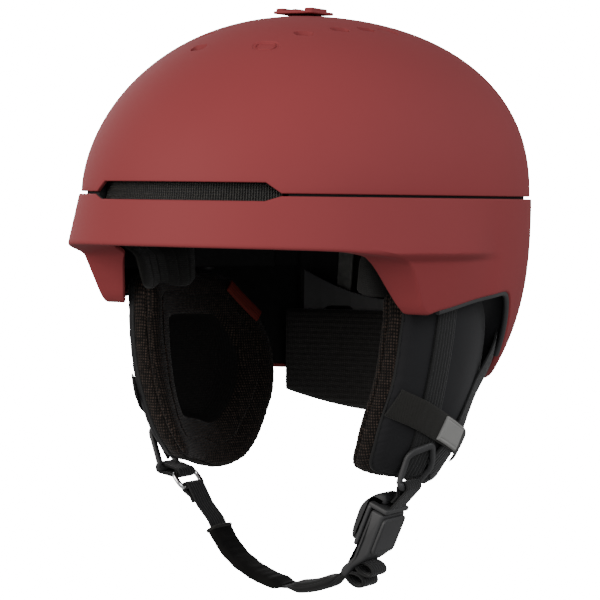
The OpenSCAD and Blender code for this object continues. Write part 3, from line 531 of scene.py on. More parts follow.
FINISHES = {
    "red_shell": Finish((0.262, 0.042, 0.045), (0.296, 0.050, 0.053), (0.66, 0.74),
                        values={"Scale": 2600.0, "Broad": 9.0}, relief=0.05, depth=0.00004, specular=0.22),
    "foam": Finish((0.014, 0.014, 0.014), (0.026, 0.026, 0.026), (0.85, 0.95),
                   values={"Scale": 330.0, "Broad": 120.0}, relief=0.5, depth=0.0004),
    "black_plastic": Finish((0.028, 0.028, 0.029), (0.042, 0.042, 0.043), (0.48, 0.60),
                            values={"Scale": 1900.0, "Broad": 40.0}, relief=0.12, depth=0.00006),
    "comfort_fabric": Finish((0.005, 0.005, 0.005), (0.014, 0.013, 0.013), (0.92, 1.0), Coat.WEAVE,
                             {"Pitch": 0.0011}, 0.5, 0.0003, sheen=0.15, specular=0.2, by_run=True),
    "grey_fabric": Finish((0.026, 0.026, 0.024), (0.050, 0.049, 0.045), (0.92, 1.0), Coat.WEAVE,
                          {"Pitch": 0.0011}, 0.5, 0.0003, sheen=0.15, specular=0.2, by_run=True),
    "ear_neoprene": Finish((0.0098, 0.0098, 0.011), (0.0135, 0.0135, 0.0148), (0.80, 0.92),
                           values={"Scale": 2400.0, "Broad": 30.0}, relief=0.12, depth=0.0001, sheen=0.12,
                           specular=0.3),
    "ear_mesh": Finish((0.0045, 0.0038, 0.0034), (0.082, 0.057, 0.045), (0.9, 1.0), Coat.WEAVE,
                       {"Pitch": 0.0014}, 0.7, 0.0005, sheen=0.1, specular=0.15, by_run=True),
    "ear_recess": Finish((0.010, 0.0095, 0.009), (0.024, 0.021, 0.020), (0.95, 1.0), Coat.WEAVE,
                         {"Pitch": 0.0013}, 0.5, 0.0003, specular=0.1, by_run=True),
    "nape_fabric": Finish((0.024, 0.023, 0.022), (0.060, 0.057, 0.054), (0.92, 1.0), Coat.WEAVE,
                          {"Pitch": 0.0012}, 0.5, 0.0003, sheen=0.12, specular=0.2, by_run=True),
    "grey_webbing": Finish((0.12, 0.12, 0.115), (0.20, 0.20, 0.19), (0.8, 0.9),
                           values={"Scale": 1600.0, "Broad": 300.0}, relief=0.3, depth=0.0001, sheen=0.1,
                           specular=0.3),
    "black_webbing": Finish((0.0040, 0.0040, 0.0040), (0.0125, 0.0125, 0.0125), (0.70, 0.85), Coat.RIBS,
                            {"Pitch": 0.0023}, 0.8, 0.0004, sheen=0.12, specular=0.35, by_run=True),
    "grosgrain": Finish((0.009, 0.009, 0.008), (0.022, 0.021, 0.018), (0.75, 0.88), Coat.RIBS,
                        {"Pitch": 0.0011, "Slant": 1.0}, 0.5, 0.0002, sheen=0.12, specular=0.3, by_run=True),
    "chin_fabric": Finish((0.004, 0.004, 0.004), (0.010, 0.0095, 0.009), (0.95, 1.0),
                          values={"Scale": 900.0, "Broad": 150.0}, relief=0.5, depth=0.0003, sheen=0.05,
                          specular=0.08),
    "red_webbing": Finish((0.10, 0.010, 0.006), (0.19, 0.020, 0.012), (0.85, 0.95), Coat.RIBS,
                          {"Pitch": 0.0016}, 0.5, 0.0002, by_run=True),
    "label_rubber": Finish((0.25, 0.248, 0.237), (0.30, 0.297, 0.283), (0.55, 0.68),
                           values={"Scale": 1500.0, "Broad": 80.0}, relief=0.12, depth=0.00006),
    "grip_rubber": Finish((0.020, 0.020, 0.021), (0.028, 0.028, 0.029), (0.60, 0.72),
                          values={"Scale": 1500.0, "Broad": 80.0}, relief=0.15, depth=0.00006),
    "steel": Finish((0.42, 0.42, 0.43), (0.58, 0.58, 0.59), (0.28, 0.40),
                    values={"Scale": 700.0, "Broad": 60.0}, relief=0.1, depth=0.00004, metal=1.0),
    "chrome": Finish((0.80, 0.80, 0.81), (0.90, 0.90, 0.91), (0.06, 0.12),
                     values={"Scale": 500.0, "Broad": 40.0}, relief=0.03, depth=0.00002, metal=1.0),
    "vent_screen": Finish((0.0015, 0.0014, 0.0012), (0.055, 0.050, 0.040), (0.45, 0.7), Coat.WEAVE,
                          {"Pitch": 0.0013}, 1.0, 0.0006, by_run=True),
}


class Finishes:
    """The materials, each made once."""

    def __init__(self) -> None:
        """Builds the shared groups."""
        self.groups = Groups()
        self.ready: dict[str, bpy.types.Material] = {}

    def get(self, name: str) -> bpy.types.Material:
        """The material of a finish."""
        if name not in self.ready:
            self.ready[name] = self._make(name, FINISHES[name])
        return self.ready[name]

    def _make(self, name: str, finish: Finish) -> bpy.types.Material:
        """Builds one material from its finish."""
        material = bpy.data.materials.new(name)
        material.use_nodes = True
        material.node_tree.nodes.clear()
        g = Graph(material.node_tree)
        vector = g.add("UVMap",
                       uv_map="run").outputs[0] if finish.by_run else g.add("TexCoord").outputs["Object"]
        tree = {Coat.GRAIN: self.groups.grain, Coat.WEAVE: self.groups.weave,
                Coat.RIBS: self.groups.ribs}[finish.coat]
        effect = g.add("Group", node_tree=tree)
        g.tree.links.new(vector, effect.inputs["Vector"])
        for key, value in finish.values.items():
            effect.inputs[key].default_value = value
        mask = effect.outputs[1]
        ramp = g.add("MapRange", {"Value": mask, "From Min": 0.15, "From Max": 0.75})
        colour = g.add("Mix", {0: ramp.outputs[0], 6: (*finish.low, 1.0), 7: (*finish.high, 1.0)},
                       data_type="RGBA")
        rough = g.add("MapRange", {"Value": mask, "To Min": finish.rough[0], "To Max": finish.rough[1]})
        bump = g.add("Bump",
                     {"Height": effect.outputs[0], "Strength": finish.relief, "Distance": finish.depth})
        shader = g.add("BsdfPrincipled", {"Base Color": colour.outputs[2], "Roughness": rough.outputs[0],
                                          "Normal": bump.outputs[0], "Metallic": finish.metal,
                                          "Sheen Weight": finish.sheen, "Sheen Roughness": 0.4,
                                          "Specular IOR Level": finish.specular})
        out = g.add("OutputMaterial")
        g.tree.links.new(shader.outputs[0], out.inputs[0])
        return material


# ---------------------------------------------------------------------------------------------
# Hard shells and foam
# ---------------------------------------------------------------------------------------------
class Pieces:
    """What every group of pieces shares: the maker and the finishes."""

    def __init__(self, maker: Maker, finishes: Finishes) -> None:
        """Keeps both.

        Args:
            maker: makes the meshes.
            finishes: gives the materials.
        """
        self.maker, self.finishes = maker, finishes

    def dress(self, obj: bpy.types.Object, looks: Sequence[str], body: str = "helmet",
              nodes: Sequence[str] = (), slot: Optional[str] = None) -> bpy.types.Object:
        """Finishes a piece with the named looks; the slot, the first look unless it is given, is passed on
        but not used.
        """
        return self.maker.finish(obj, [self.finishes.get(n) for n in looks], body, slot or looks[0], nodes)

    def tube(self, name: str, path: Array, out: Array, wide: float, high: float, closed: bool = False,
             power: float = 2.0, sides: int = 14) -> bpy.types.Object:
        """A rod of oval section: |a / high|^power + |b / wide|^power = 1, with a along out."""
        if closed:
            way = unit(np.roll(path, -1, 0) - np.roll(path, 1, 0))
        else:
            way = unit(np.gradient(path, axis=0))
        across = unit(np.cross(way, out))
        over = np.cross(across, way)
        t = np.linspace(0, 2 * math.pi, sides, endpoint=False)
        c, s = np.cos(t), np.sin(t)
        b = wide * np.sign(c) * np.abs(c)**(2 / power)
        h = high * np.sign(s) * np.abs(s)**(2 / power)
        points = path[:, None] + across[:, None] * b[None, :, None] + over[:, None] * h[None, :, None]
        if not closed:
            ends = np.array([0.0, 0.6, 0.9])
            shrink = np.sqrt(1 - (1 - ends)**2)
            head = [path[0] + (points[0] - path[0]) * k for k in shrink]
            tail = [path[-1] + (points[-1] - path[-1]) * k for k in shrink[::-1]]
            points = np.concatenate([np.array(head), points, np.array(tail)])
        return self.maker.grid(name, points, (closed, True))


CROWN_VENTS = np.array([[19.5, -75.5, 14], [29.5, -56, 27], [39.5, -37.5, 44], [45.5, -21.5, 62],
                        [50, -6.5, 80]])
SLOT_HALF, SLOT_RAMP, SLOT_TOP, SLOT_BOTTOM, SEAM_HALF = 24.8, 3.4, 5.7, 3.0, 0.6
REAR_VENTS, REAR_VENT_Z = (-32.5, -21.5, -10.5, 10.5, 21.5, 32.5), -53
KNOB_SLOT, KNOB_Z = 18.7, 94.4
FOAM_OUT, FOAM_IN, PAD_BACK = 3.0, 26.0, 27.0           # depths below the shell's outer face


def slot_share(ph: Array) -> Array:
    """How far the front slot is open at an angle, 0 to 1."""
    return np.clip((SLOT_HALF - np.abs(ph)) / SLOT_RAMP, 0, 1)


class Shells(Pieces):
    """The two red shells, the foam between them and the head, and the vents."""

    def build(self) -> None:
        """Makes every piece of the group."""
        self.dress(self.upper(), ["red_shell"], nodes=["upper_shell"])
        lower, trim = self.lower()
        self.dress(lower, ["red_shell", "foam"], nodes=["lower_shell"])
        for strip in trim.values():
            self.dress(strip, ["black_plastic"])
        self.dress(self.foam(), ["foam"], nodes=["impact_liner"])
        self.dress(self.screen(), ["vent_screen"], nodes=["front_vent_grille"], slot="black_plastic")
        self.knob()

    def vent_cutters(self, grow: float, recess: bool) -> list[bpy.types.Object]:
        """Slots through the crown, with a shallow dish round each where the recess is asked for."""
        cutters = []
        for x, y, turn in CROWN_VENTS:
            for side in (1, -1):
                a = math.radians(turn)
                flat = pill(10 + grow, 5.5 + grow)
                spin = np.stack([flat[:, 0] * math.cos(a) - flat[:, 1] * math.sin(a) + x,
                                 flat[:, 0] * math.sin(a) + flat[:, 1] * math.cos(a) + y], 1)
                spin[:, 0] *= side
                rings = [np.column_stack([spin, np.full(len(spin), z)]) for z in (35.0, 110.0)]
                cutters.append(self.maker.grid("slot", np.array(rings), (False, True), True))
                if recess:
                    cutters.append(self.dish(side * x, y,
                                             math.radians(turn) * side + (math.pi if side < 0 else 0)))
        return cutters

    def dish(self, x: float, y: float, turn: float) -> bpy.types.Object:
        """A flat-bottomed cutter that stands square to the dome over a vent."""
        ph = math.degrees(math.atan2(x, -y))
        zs = np.linspace(5, FORM.crown - 0.05, 1200)
        reach = np.linalg.norm(FORM.point(ph, zs)[:, :2], axis=1)
        z = float(np.interp(math.hypot(x, y), reach[::-1], zs[::-1]))
        here = FORM.point(ph, z)
        normal = unit(np.cross(FORM.point(ph + 0.5, z) - here, FORM.point(ph, z + 0.3) - here))
        normal *= np.sign(normal[2])
        along_axis = unit(np.cross([-math.sin(turn), math.cos(turn), 0.0], normal))
        across = np.cross(normal, along_axis)
        rings = []
        for grow, height in ((3.6, -0.55), (6.0, 0.5), (6.0, 6.0)):
            flat = pill(10 + grow, 5.5 + grow)
            rings.append(here + flat[:, :1] * along_axis + flat[:, 1:] * across + normal * height)
        return self.maker.grid("dish", np.array(rings), (False, True), True)

    def upper(self) -> bpy.types.Object:
        """The upper shell: the dome's outer and inner faces, closed round its lower edge."""
        ph = np.unique(np.concatenate([np.arange(-180, 180, 0.75), [-24.8, -21.4, 21.4, 24.8]]))
        low = lerp(SEAM_HALF, SLOT_TOP, slot_share(ph))
        share = np.sin(np.radians(np.linspace(0, 90, 52)))[1:]
        rows = [FORM.point(ph, low + 0.7 + (FORM.crown - low - 0.7) * s, 0.0) for s in share[::-1]]
        rows += [FORM.point(ph, low + back, depth) for depth, back in edge_round(FORM.wall, 0.7)]
        rows += [FORM.point(ph, low + 0.7 + (FORM.crown - FORM.wall - low - 0.7) * s,
                            FORM.wall) for s in share]
        shell = self.maker.grid("upper_skin", np.array(rows), (False, True))
        gap = pill(KNOB_SLOT, 13.0)[:, ::-1] + [0, -4.5]
        box = np.array([np.column_stack([gap, np.full(len(gap), z)]) for z in (80.0, 110.0)])
        self.maker.cut(shell,
                       self.vent_cutters(0.0, True) + [self.maker.grid("gap", box, (False, True), True)])
        return shell

    def lower(self) -> tuple[bpy.types.Object, dict[str, bpy.types.Object]]:
        """The lower shell with its inturned rim, and the black trim under its two ear arches."""
        rows = rim_loop(16)
        seam, rim, z, lip, way, side = rows.T
        top = -lerp(SEAM_HALF, SLOT_BOTTOM, slot_share(seam))
        mirror = np.stack([side, np.ones_like(side), np.ones_like(side)], 1)

        def wall(v: Array, d: float) -> Array:
            """The point a share v of the way down the wall at a depth."""
            return FORM.point(lerp(seam, rim, v), lerp(top, z, v), d, FORM.step) * mirror

        corner = wall(1.0, 0.0)
        a = np.radians(way)
        inward = np.stack([-np.sin(a) * side, np.cos(a), 0 * a], 1)
        tangent = np.roll(corner, -1, 0) - np.roll(corner, 1, 0)
        up = unit(np.cross(tangent, inward))
        up *= np.sign(np.sum(up * (wall(0.0, 0.0) - corner), axis=1, keepdims=True))
        tall = np.linalg.norm(corner - wall(0.9, 0.0), axis=1) * 10
        soft = np.minimum(2.4, 0.45 * lip)
        foot = 1 - soft / tall
        lip, soft = lip[:, None], soft[:, None]
        start = 0.7 / tall
        ring = [wall(lerp(start, foot, s), 0.0) for s in np.linspace(0, 1, 72)]
        ring += bend(wall(foot, 0.0), corner, corner + inward * soft, 7)[1:]
        ring += [corner + inward * lerp(soft, lip - 0.8, s) for s in (0.35, 0.7)]
        end = corner + inward * lip
        ring += bend(end - inward * 0.8, end, end + up * 0.8, 4)
        ring += bend(end + up * (FORM.wall - 0.8), end + up * FORM.wall, end - inward * 0.6 + up * FORM.wall,
                     4)
        outer = len(ring)
        ring += [wall(1.0, FORM.wall) + up * FORM.wall]
        ring += [wall(v * foot, FORM.wall) for v in np.linspace(0.93, 0.12, 12)]
        ring += [wall(back / tall, depth) for depth, back in edge_round(FORM.wall, 0.7)[::-1]]
        dark = np.zeros(len(ring), int)
        dark[outer - 3:-5] = 1
        marks = np.tile(dark, (len(rows), 1))
        shell = self.maker.grid("lower_skin", np.array(ring).transpose(1, 0, 2), (True, True), slots=marks)
        cutters = []
        for x in REAR_VENTS:
            flat = pill(7, 4)
            rings = [np.column_stack([flat[:, 0] + x, np.full(len(flat), y),
                                      flat[:, 1] + REAR_VENT_Z]) for y in (90.0, 150.0)]
            cutters.append(self.maker.grid("slot", np.array(rings), (False, True), True))
        self.maker.cut(shell, cutters)
        trims = {}
        for name, sign in (("left", 1), ("right", -1)):
            pick = (side == sign) & (rim > 69) & (rim < 121)
            path = (corner + inward * 2.4 - up * 0.3)[pick]
            trims[name] = self.tube("rim_trim_" + name, resample(path, 90), inward[pick].mean(0), 1.7, 1.5)
        return shell, trims

    def foam(self) -> bpy.types.Object:
        """The foam, from 3 mm to 26 mm under the shell, cut away over the ears and behind the front slot,
        the crown vents and the outermost rear vent on each side."""
        rows = rim_loop(7)
        seam, rim, z, lip, way, side = rows.T
        mirror = np.stack([side, np.ones_like(side), np.ones_like(side)], 1)
        ears = (rim > 59) & (rim < 148)
        foot = np.maximum(z + FORM.wall + 1.8, np.where(ears, -40.0, -84.0))
        reach = np.minimum(23.0, np.maximum(8.0, lip - FORM.wall - 1))[:, None]
        a = np.radians(way)
        inward = np.stack([-np.sin(a), np.cos(a), 0 * a], 1)

        def low(v: float, inner: bool) -> Array:
            """A ring below the parting line, at a share of the way down."""
            ph, height = lerp(seam, rim, v), foot * v
            face = FORM.point(ph, height, FOAM_OUT)
            depth = np.where(rim < 140, FOAM_IN, lerp(FOAM_IN, 14.5, float(smooth(v * 1.3))))
            back = np.where((rim < 68)[:, None], face + reach * inward, FORM.point(ph, height, depth))
            deep = lerp(FORM.point(ph, height, FOAM_IN), back, float(smooth(v * 1.4 - 0.4)))
            return (deep if inner else face) * mirror

        share = np.sin(np.radians(np.linspace(0, 90, 22)))
        rings = [FORM.point(seam, (FORM.crown - FOAM_IN) * s, FOAM_IN) * mirror for s in share[::-1]]
        rings += [low(v, True) for v in np.linspace(0, 1, 12)[1:]]
        rings += [lerp(low(1.0, True), low(1.0, False), t) for t in (0.1, 0.5, 0.9)]
        rings += [low(v, False) for v in np.linspace(1, 0, 12)[:-1]]
        rings += [FORM.point(seam, (FORM.crown - FOAM_OUT) * s, FOAM_OUT) * mirror for s in share]
        body = self.maker.grid("foam_liner", np.array(rings), (False, True))
        ph = np.arange(-26.3, 26.4, 2.1)
        duct = np.array([FORM.point(ph, h, d) for h, d in ((-7.5, 2), (10.2, 2), (10.2, 16), (-7.5, 16))])
        duct = self.maker.grid("duct", duct.transpose(1, 0, 2), (False, True), True)
        windows = []
        for x in (-36.0, 36.0):
            hole = [[[x - 8, y, -58], [x + 8, y, -58], [x + 8, y, -48], [x - 8, y, -48]] for y in (70.0,
                                                                                                   150.0)]
            windows.append(self.maker.grid("window", np.array(hole), (False, True), True))
        self.maker.cut(body, self.vent_cutters(1.0, False) + [duct] + windows)
        return body

    def screen(self) -> bpy.types.Object:
        """The fine screen behind the front slot."""
        ph, z = np.meshgrid(np.linspace(-24.6, 24.6, 90), np.linspace(-6, 8.7, 14), indexing="ij")
        return self.maker.band("vent_mesh", FORM.point(ph, z, 5.6), FORM.point(ph, z, 7.0))

    def knob(self) -> None:
        """The crown's slider: a plate with rounded corners and three ridges across it."""
        plate = self.maker.slab("knob_plate", rounded([[-12, -18], [12, -18], [12, 6], [-12, 6]], 2.5), 0.75,
                                0.5,
                                lambda p: p + [0, 0, KNOB_Z])
        self.dress(plate, ["red_shell"], "slider", ["slider_knob"])
        for k, (x, wide, tall) in enumerate(((-8.5, 4.8, 1.8), (0.0, 3.0, 1.3), (8.5, 4.8, 1.8))):
            ridge = self.maker.block(f"knob_ridge_{k + 1}", (wide, 16, tall), 0.6,
                                     lambda p, x=x, tall=tall: p + [x, -8, 95.0 + tall / 2 - 0.1], cuts=6)
            self.dress(ridge, ["red_shell"], "slider")


# ---------------------------------------------------------------------------------------------
# Comfort pads and the fit system
# ---------------------------------------------------------------------------------------------
class Padding(Pieces):
    """The pads on the foam's inner face."""

    def build(self) -> None:
        """Makes every pad of the group."""
        brow = self.cushion("brow_cushion", -47, 47, -17, 14, PAD_BACK, 6.0)
        self.dress(brow, ["comfort_fabric"], nodes=["brow_pad"])
        for name, a0, a1 in (("left", 47, 99), ("right", -99, -47)):
            pad = self.cushion("side_cushion_" + name, a0, a1, -50, 8, PAD_BACK, 5.0)
            self.dress(pad, ["grey_fabric"], nodes=["side_pad_" + name])
        for k in range(6):
            pad = self.ray(k)
            self.dress(pad, ["comfort_fabric"], nodes=["crown_pad"] if k == 0 else [])

    def cushion(self, name: str, a0: float, a1: float, z0: float, z1: float, back: float,
                thick: float) -> bpy.types.Object:
        """A pad on the foam, (1 - u^8)^0.5 (1 - v^6)^0.5 of its thickness, with u and v from -1 to 1."""
        u, v = np.meshgrid(np.linspace(-1, 1, 90), np.linspace(-1, 1, 36), indexing="ij")
        u, v = np.sin(u * math.pi / 2), np.sin(v * math.pi / 2)
        tall = (z1 - z0) / 2 * (0.82 + 0.18 * np.sqrt(np.clip(1 - u**6, 0, 1)))
        z = (z0 + z1) / 2 + v * tall
        ph = (a0 + a1) / 2 + u * (a1 - a0) / 2
        swell = np.sqrt(np.clip(1 - u**8, 0, 1) * np.clip(1 - v**6, 0, 1))
        quilt = 1 - 0.14 * np.exp(-(np.mod(u * 3 + 0.5, 1.0) - 0.5)**2 / 0.004)
        top = FORM.point(ph, z, back + 0.5 + (thick - 0.5) * swell * quilt)
        return self.maker.band(name, top, FORM.point(ph, z, back))

    def ray(self, k: int) -> bpy.types.Object:
        """One of the six pads that spread from under the crown."""
        u, v = np.meshgrid(np.linspace(-1, 1, 44), np.linspace(-1, 1, 22), indexing="ij")
        u, v = np.sin(u * math.pi / 2), np.sin(v * math.pi / 2)
        r = 28.5 + 19.5 * u
        half = (3 + 9.6 * (u + 1) / 2) * (0.6 + 0.4 * np.sqrt(np.clip(1 - u**6, 0, 1)))
        drop = np.interp(r, [9, 22, 35, 48], [2, 3, 6.5, 12.5])
        swell = np.sqrt(np.clip(1 - u**6, 0, 1) * np.clip(1 - v**4, 0, 1))
        top, a = FORM.crown - FOAM_IN - 0.3, math.radians(60 * k)
        under = top - drop - 1.0

        def place(z: Array) -> Array:
            """Turns the pad to its place."""
            x, y = r, v * half
            return np.stack([x * math.cos(a) - y * math.sin(a), x * math.sin(a) + y * math.cos(a), z], -1)

        return self.maker.band(f"crown_cushion_{k + 1}", place(under - 0.4 - 4.6 * swell), place(under))


DIAL_Y, DIAL_Z, DIAL_RADIUS = 102.6, -110.5, 13.5      # the dial's inner face, centre height and radius


class FitSystem(Pieces):
    """The padded cradle at the nape and its dial."""

    def build(self) -> None:
        """Makes the nape pad and the dial; the cradle's hard parts are the frame's own."""
        u, v = np.meshgrid(np.linspace(-1, 1, 120), np.linspace(-1, 1, 110), indexing="ij")
        u, v = np.sin(u * math.pi / 2), np.sin(v * math.pi / 2)
        x = 55.5 * u
        low = lerp(-121.0, -109.5, u * u)
        z = lerp(low, -64.0, (v + 1) / 2)
        back = 97 - x * x / 160 - 2.5
        swell = np.sqrt(np.clip(1 - u**10, 0, 1) * np.clip(1 - v**10, 0, 1))
        rib = 0.35 * np.cos(2 * math.pi * z / 3.0) * swell
        top = np.stack([x, back - 0.8 - 6.4 * swell - rib, z], -1)
        under = np.stack([x, back, z], -1)
        pad = self.maker.band("nape_cushion", top, under)
        self.dress(pad, ["nape_fabric"], "cradle", ["nape_pad"])
        t = np.linspace(0, 2 * math.pi, 216, endpoint=False)
        grip = DIAL_RADIUS - 0.75 * (0.5 + 0.5 * np.cos(18 * t))**3
        rings = []
        profile = [(grip * share, y) for share,
                   y in ((0.05, 0), (0.6, 0), (0.94, 0), (0.985, 0.3), (1, 0.9), (1, 4.5),
                                                      (1, 8.2), (0.985, 8.9), (0.95, 9.4), (0.90, 9.5))]
        profile += [(8.7, 9.5), (8.5, 9.3), (8.4, 8.5), (8.2, 8.3), (4.0, 8.4), (0.5, 8.5)]
        for r, y in profile:
            rings.append(np.stack([r * np.cos(t), np.full_like(t, DIAL_Y + y), DIAL_Z + r * np.sin(t)], 1))
        dial = self.maker.grid("dial_cap", np.array(rings), (False, True), True)
        self.dress(dial, ["black_plastic"], "dial", ["fit_dial"])


# ---------------------------------------------------------------------------------------------
# Ear pads and what is sewn to them
# ---------------------------------------------------------------------------------------------
FACE = spline([[-165, 60], [-150, 70], [-142, 75], [-132, 80], [-120, 84], [-100, 88.5], [-75, 92],
               [-50, 93.5]], 6)
BOW = spline([[-148, .013], [-138, .0105], [-126, .0078], [-115, .0065], [-92, .005], [-60, .0048]], 6)
OUTLINE = np.array([[-38, -43.5], [-43, -62], [-44.5, -92], [-45, -110], [-43, -124], [-38, -135],
                    [-28, -139.5], [-8, -143], [9, -147.5], [24, -144.5], [38, -134], [50, -120],
                    [59, -104], [62, -88], [59, -74], [50, -59], [36, -45], [0, -42.5]], float)
MIDDLE = np.array([6.0, -94.0])
PAD_WALL = 20.0


def pad_x(y: Array, z: Array) -> Array:
    """The outer face of the pad on the wearer's left: a height curve less a bow times y squared."""
    return np.interp(z, FACE[:, 0], FACE[:, 1]) - np.interp(z, BOW[:, 0], BOW[:, 1]) * y * y


def mirrored(points: Array, side: str) -> Array:
    """The points, on the wearer's left or mirrored to the right."""
    return points * np.array([1.0 if side == "left" else -1.0, 1.0, 1.0])


class EarPads(Pieces):
    """The two sewn ear flaps: a smooth outer face, a mesh wall and inner face, and an ear recess."""

    def build(self) -> None:
        """Makes both flaps, their red pull tabs and the cord sewn round them."""
        for side in ("left", "right"):
            pad = self.flap(side)
            self.dress(pad, ["ear_neoprene", "ear_mesh", "ear_recess"], nodes=["ear_pad_" + side])
            self.tuck(side)
            self.piping(side)
            self.tab(side)

    @staticmethod
    def ring(share: float, inset: Array, depth: Array) -> Array:
        """One turn of the flap: drawn in from its outline by a share and an inset, and down by a depth."""
        edge = spline(OUTLINE, 16, closed=True)
        out = unit(edge - MIDDLE)
        q = MIDDLE + (edge - MIDDLE) * share - out * np.reshape(inset, (-1, 1))
        return np.stack([pad_x(q[:, 0], q[:, 1]) - depth, q[:, 0], q[:, 1]], 1)

    def flap(self, side: str) -> bpy.types.Object:
        """One flap. Its seams are drawn in, and the cloth beside them puckers by up to 0.3 mm."""
        count = len(OUTLINE) * 16
        turn = np.arange(count) * 2 * math.pi / count
        pucker = 0.5 * np.sin(61 * turn) + 0.3 * np.sin(97 * turn + 1.3) + 0.2 * np.sin(23 * turn + 0.4)
        rings, marks = [], []

        def add(mark: int, share: float, inset: float, depth: float, crease: float = 0.0) -> None:
            """Adds a turn and says what the faces after it are made of."""
            rings.append(self.ring(share, inset + crease * pucker, depth + 0.5 * crease * pucker))
            marks.append(mark)

        for s in (0.0, 0.12, 0.3, 0.5, 0.7, 0.84):
            add(0, s, 0.0, 0.0)
        add(0, 1.0, 7.0, 0.1, 0.1)
        add(0, 1.0, 5.0, 0.2, 0.25)
        for a in np.radians([0, 20, 40, 60, 80]):
            add(0, 1.0, 3.4 * (1 - math.sin(a)) + 0.4, 0.3 + 3.4 * (1 - math.cos(a)), 0.3)
        add(1, 1.0, 1.0, 4.2, 0.1)
        for t in (0.08, 0.2, 0.4, 0.6, 0.8, 0.92):
            add(1, 1.0, 0.3 - 1.0 * math.sin(t * math.pi), lerp(4.4, 12.4, t), 0.25)
        add(1, 1.0, 1.1, 12.6, 0.1)
        for a in np.radians([6, 20, 36, 52, 68, 84]):
            add(1, 1.0, 0.4 + 11.0 * (1 - math.cos(a)), 12.8 + 7.0 * math.sin(a), 0.3)
        add(1, 1.0, 12.6, 19.2, 0.1)
        add(1, 1.0, 13.4, 19.9, 0.25)
        for s in (0.72, 0.66, 0.61):
            add(1, s, 0.0, 20.0 - 0.4 * (s < 0.65))
        for s, d in ((0.56, 18.0), (0.52, 14.5), (0.49, 11.0)):
            add(2, s, 0.0, d)
        for s, d in ((0.46, 9.2), (0.40, 9.0), (0.2, 8.6), (0.0, 8.5)):
            add(2, s, 0.0, d)
        grid = np.array(rings)
        flap = self.maker.mesh("ear_flap_" + side, mirrored(grid.reshape(-1, 3), side),
                               *self.faces(grid, marks))
        self.run(flap)
        return flap

    @staticmethod
    def faces(grid: Array, marks: Sequence[int]) -> tuple[list, None, list]:
        """The faces of a stack of closed turns, no UV, and what each face is made of."""
        m, n = grid.shape[:2]
        ii, jj = np.meshgrid(np.arange(m - 1), np.arange(n), indexing="ij")
        after = (jj + 1) % n
        quads = np.stack([ii * n + jj, ii * n + after, (ii + 1) * n + after, (ii + 1) * n + jj], -1)
        return quads.reshape(-1, 4).tolist(), None, np.repeat(np.asarray(marks[:-1]), n).tolist()

    @staticmethod
    def run(obj: bpy.types.Object) -> None:
        """A UV map in metres: y and z on the two broad faces, and arc by x on the side wall between them."""
        data = obj.data
        co = np.empty(len(data.vertices) * 3)
        data.vertices.foreach_get("co", co)
        co = co.reshape(-1, 3)
        index = np.empty(len(data.loops), np.int32)
        data.loops.foreach_get("vertex_index", index)
        total = np.empty(len(data.polygons), np.int32)
        data.polygons.foreach_get("loop_total", total)
        normal = np.empty(len(data.polygons) * 3)
        data.polygons.foreach_get("normal", normal)
        steep = np.repeat(np.abs(normal.reshape(-1, 3)[:, 0]) < 0.55, total)
        here = co[index]
        angle = np.arctan2(here[:, 2] - MIDDLE[1] * MM, here[:, 1] - MIDDLE[0] * MM)
        starts = np.concatenate([[0], np.cumsum(total)[:-1]])
        span = np.maximum.reduceat(angle, starts) - np.minimum.reduceat(angle, starts)
        angle = np.where(np.repeat(span > math.pi, total) & (angle < 0), angle + 2 * math.pi, angle)
        side_wall = np.stack([angle * 0.052, here[:, 0]], 1)
        uv = np.where(steep[:, None], side_wall, here[:, 1:])
        layer = data.uv_layers.new(name="run")
        layer.data.foreach_set("uv", uv.astype(np.float32).ravel())

    def tuck(self, side: str) -> None:
        """The smooth cloth behind the flap's rear edge, which rises to the shell's ear arch."""
        rows = spline(RIM, 16)
        rows = rows[(rows[:, 1] > 84) & (rows[:, 1] < 126)]
        top = FORM.point(rows[:, 1], rows[:, 2] + 4.0, 3.2, FORM.step)
        s = np.linspace(0, 1, len(rows))
        top = top - np.stack([10.5 * (1 - smooth(s / 0.4)), 0 * s, 0 * s], 1)
        edge = resample(spline([[0, -50], [18, -52], [34, -60], [46, -72], [50, -88], [46, -104]], 12),
                        len(rows))
        foot = np.stack([pad_x(edge[:, 0], edge[:, 1]) - 0.6, edge[:, 0], edge[:, 1]], 1)
        t = np.sin(np.linspace(0, 1, 18) * math.pi / 2)[None, :, None]
        sheet = top[:, None] + (foot - top)[:, None] * t
        sheet = sheet - np.array([1.0, 0.0, 0.0]) * (1.6 * np.sin(math.pi * t))
        cloth = self.maker.band("arch_cloth_" + side, mirrored(sheet, side),
                                mirrored(sheet - [1.2, 0, 0], side))
        self.dress(cloth, ["ear_neoprene"])

    def piping(self, side: str) -> None:
        """A thin cord sewn along the seam between the outer face and the side wall."""
        path = self.ring(1.0, 0.5, 4.0)
        path = mirrored(path, side)
        cord = self.tube("flap_piping_" + side, path, np.array([1.0, 0.0, 0.0]), 0.85, 0.85, closed=True,
                         sides=8)
        self.dress(cord, ["black_webbing"])

    def tab(self, side: str) -> None:
        """The red tab inside the top of the flap."""
        t = np.linspace(0, 1, 24)
        y, z = 31 + 18.4 * t, -50 - 17.6 * t
        w = np.linspace(-1, 1, 7)
        yy, zz = y[:, None] + 2.4 * w, z[:, None] + 2.6 * w
        x = pad_x(y, z)[:, None] - PAD_WALL - 1.6 + 0 * yy
        top = np.stack([x - 1.1 + 0.5 * w**4, yy, zz], -1)
        under = np.stack([x, yy, zz], -1)
        tab = self.maker.band("pull_tab_" + side, mirrored(top, side), mirrored(under, side))
        self.dress(tab, ["red_webbing"], nodes=["pad_tabs"] if side == "left" else [])


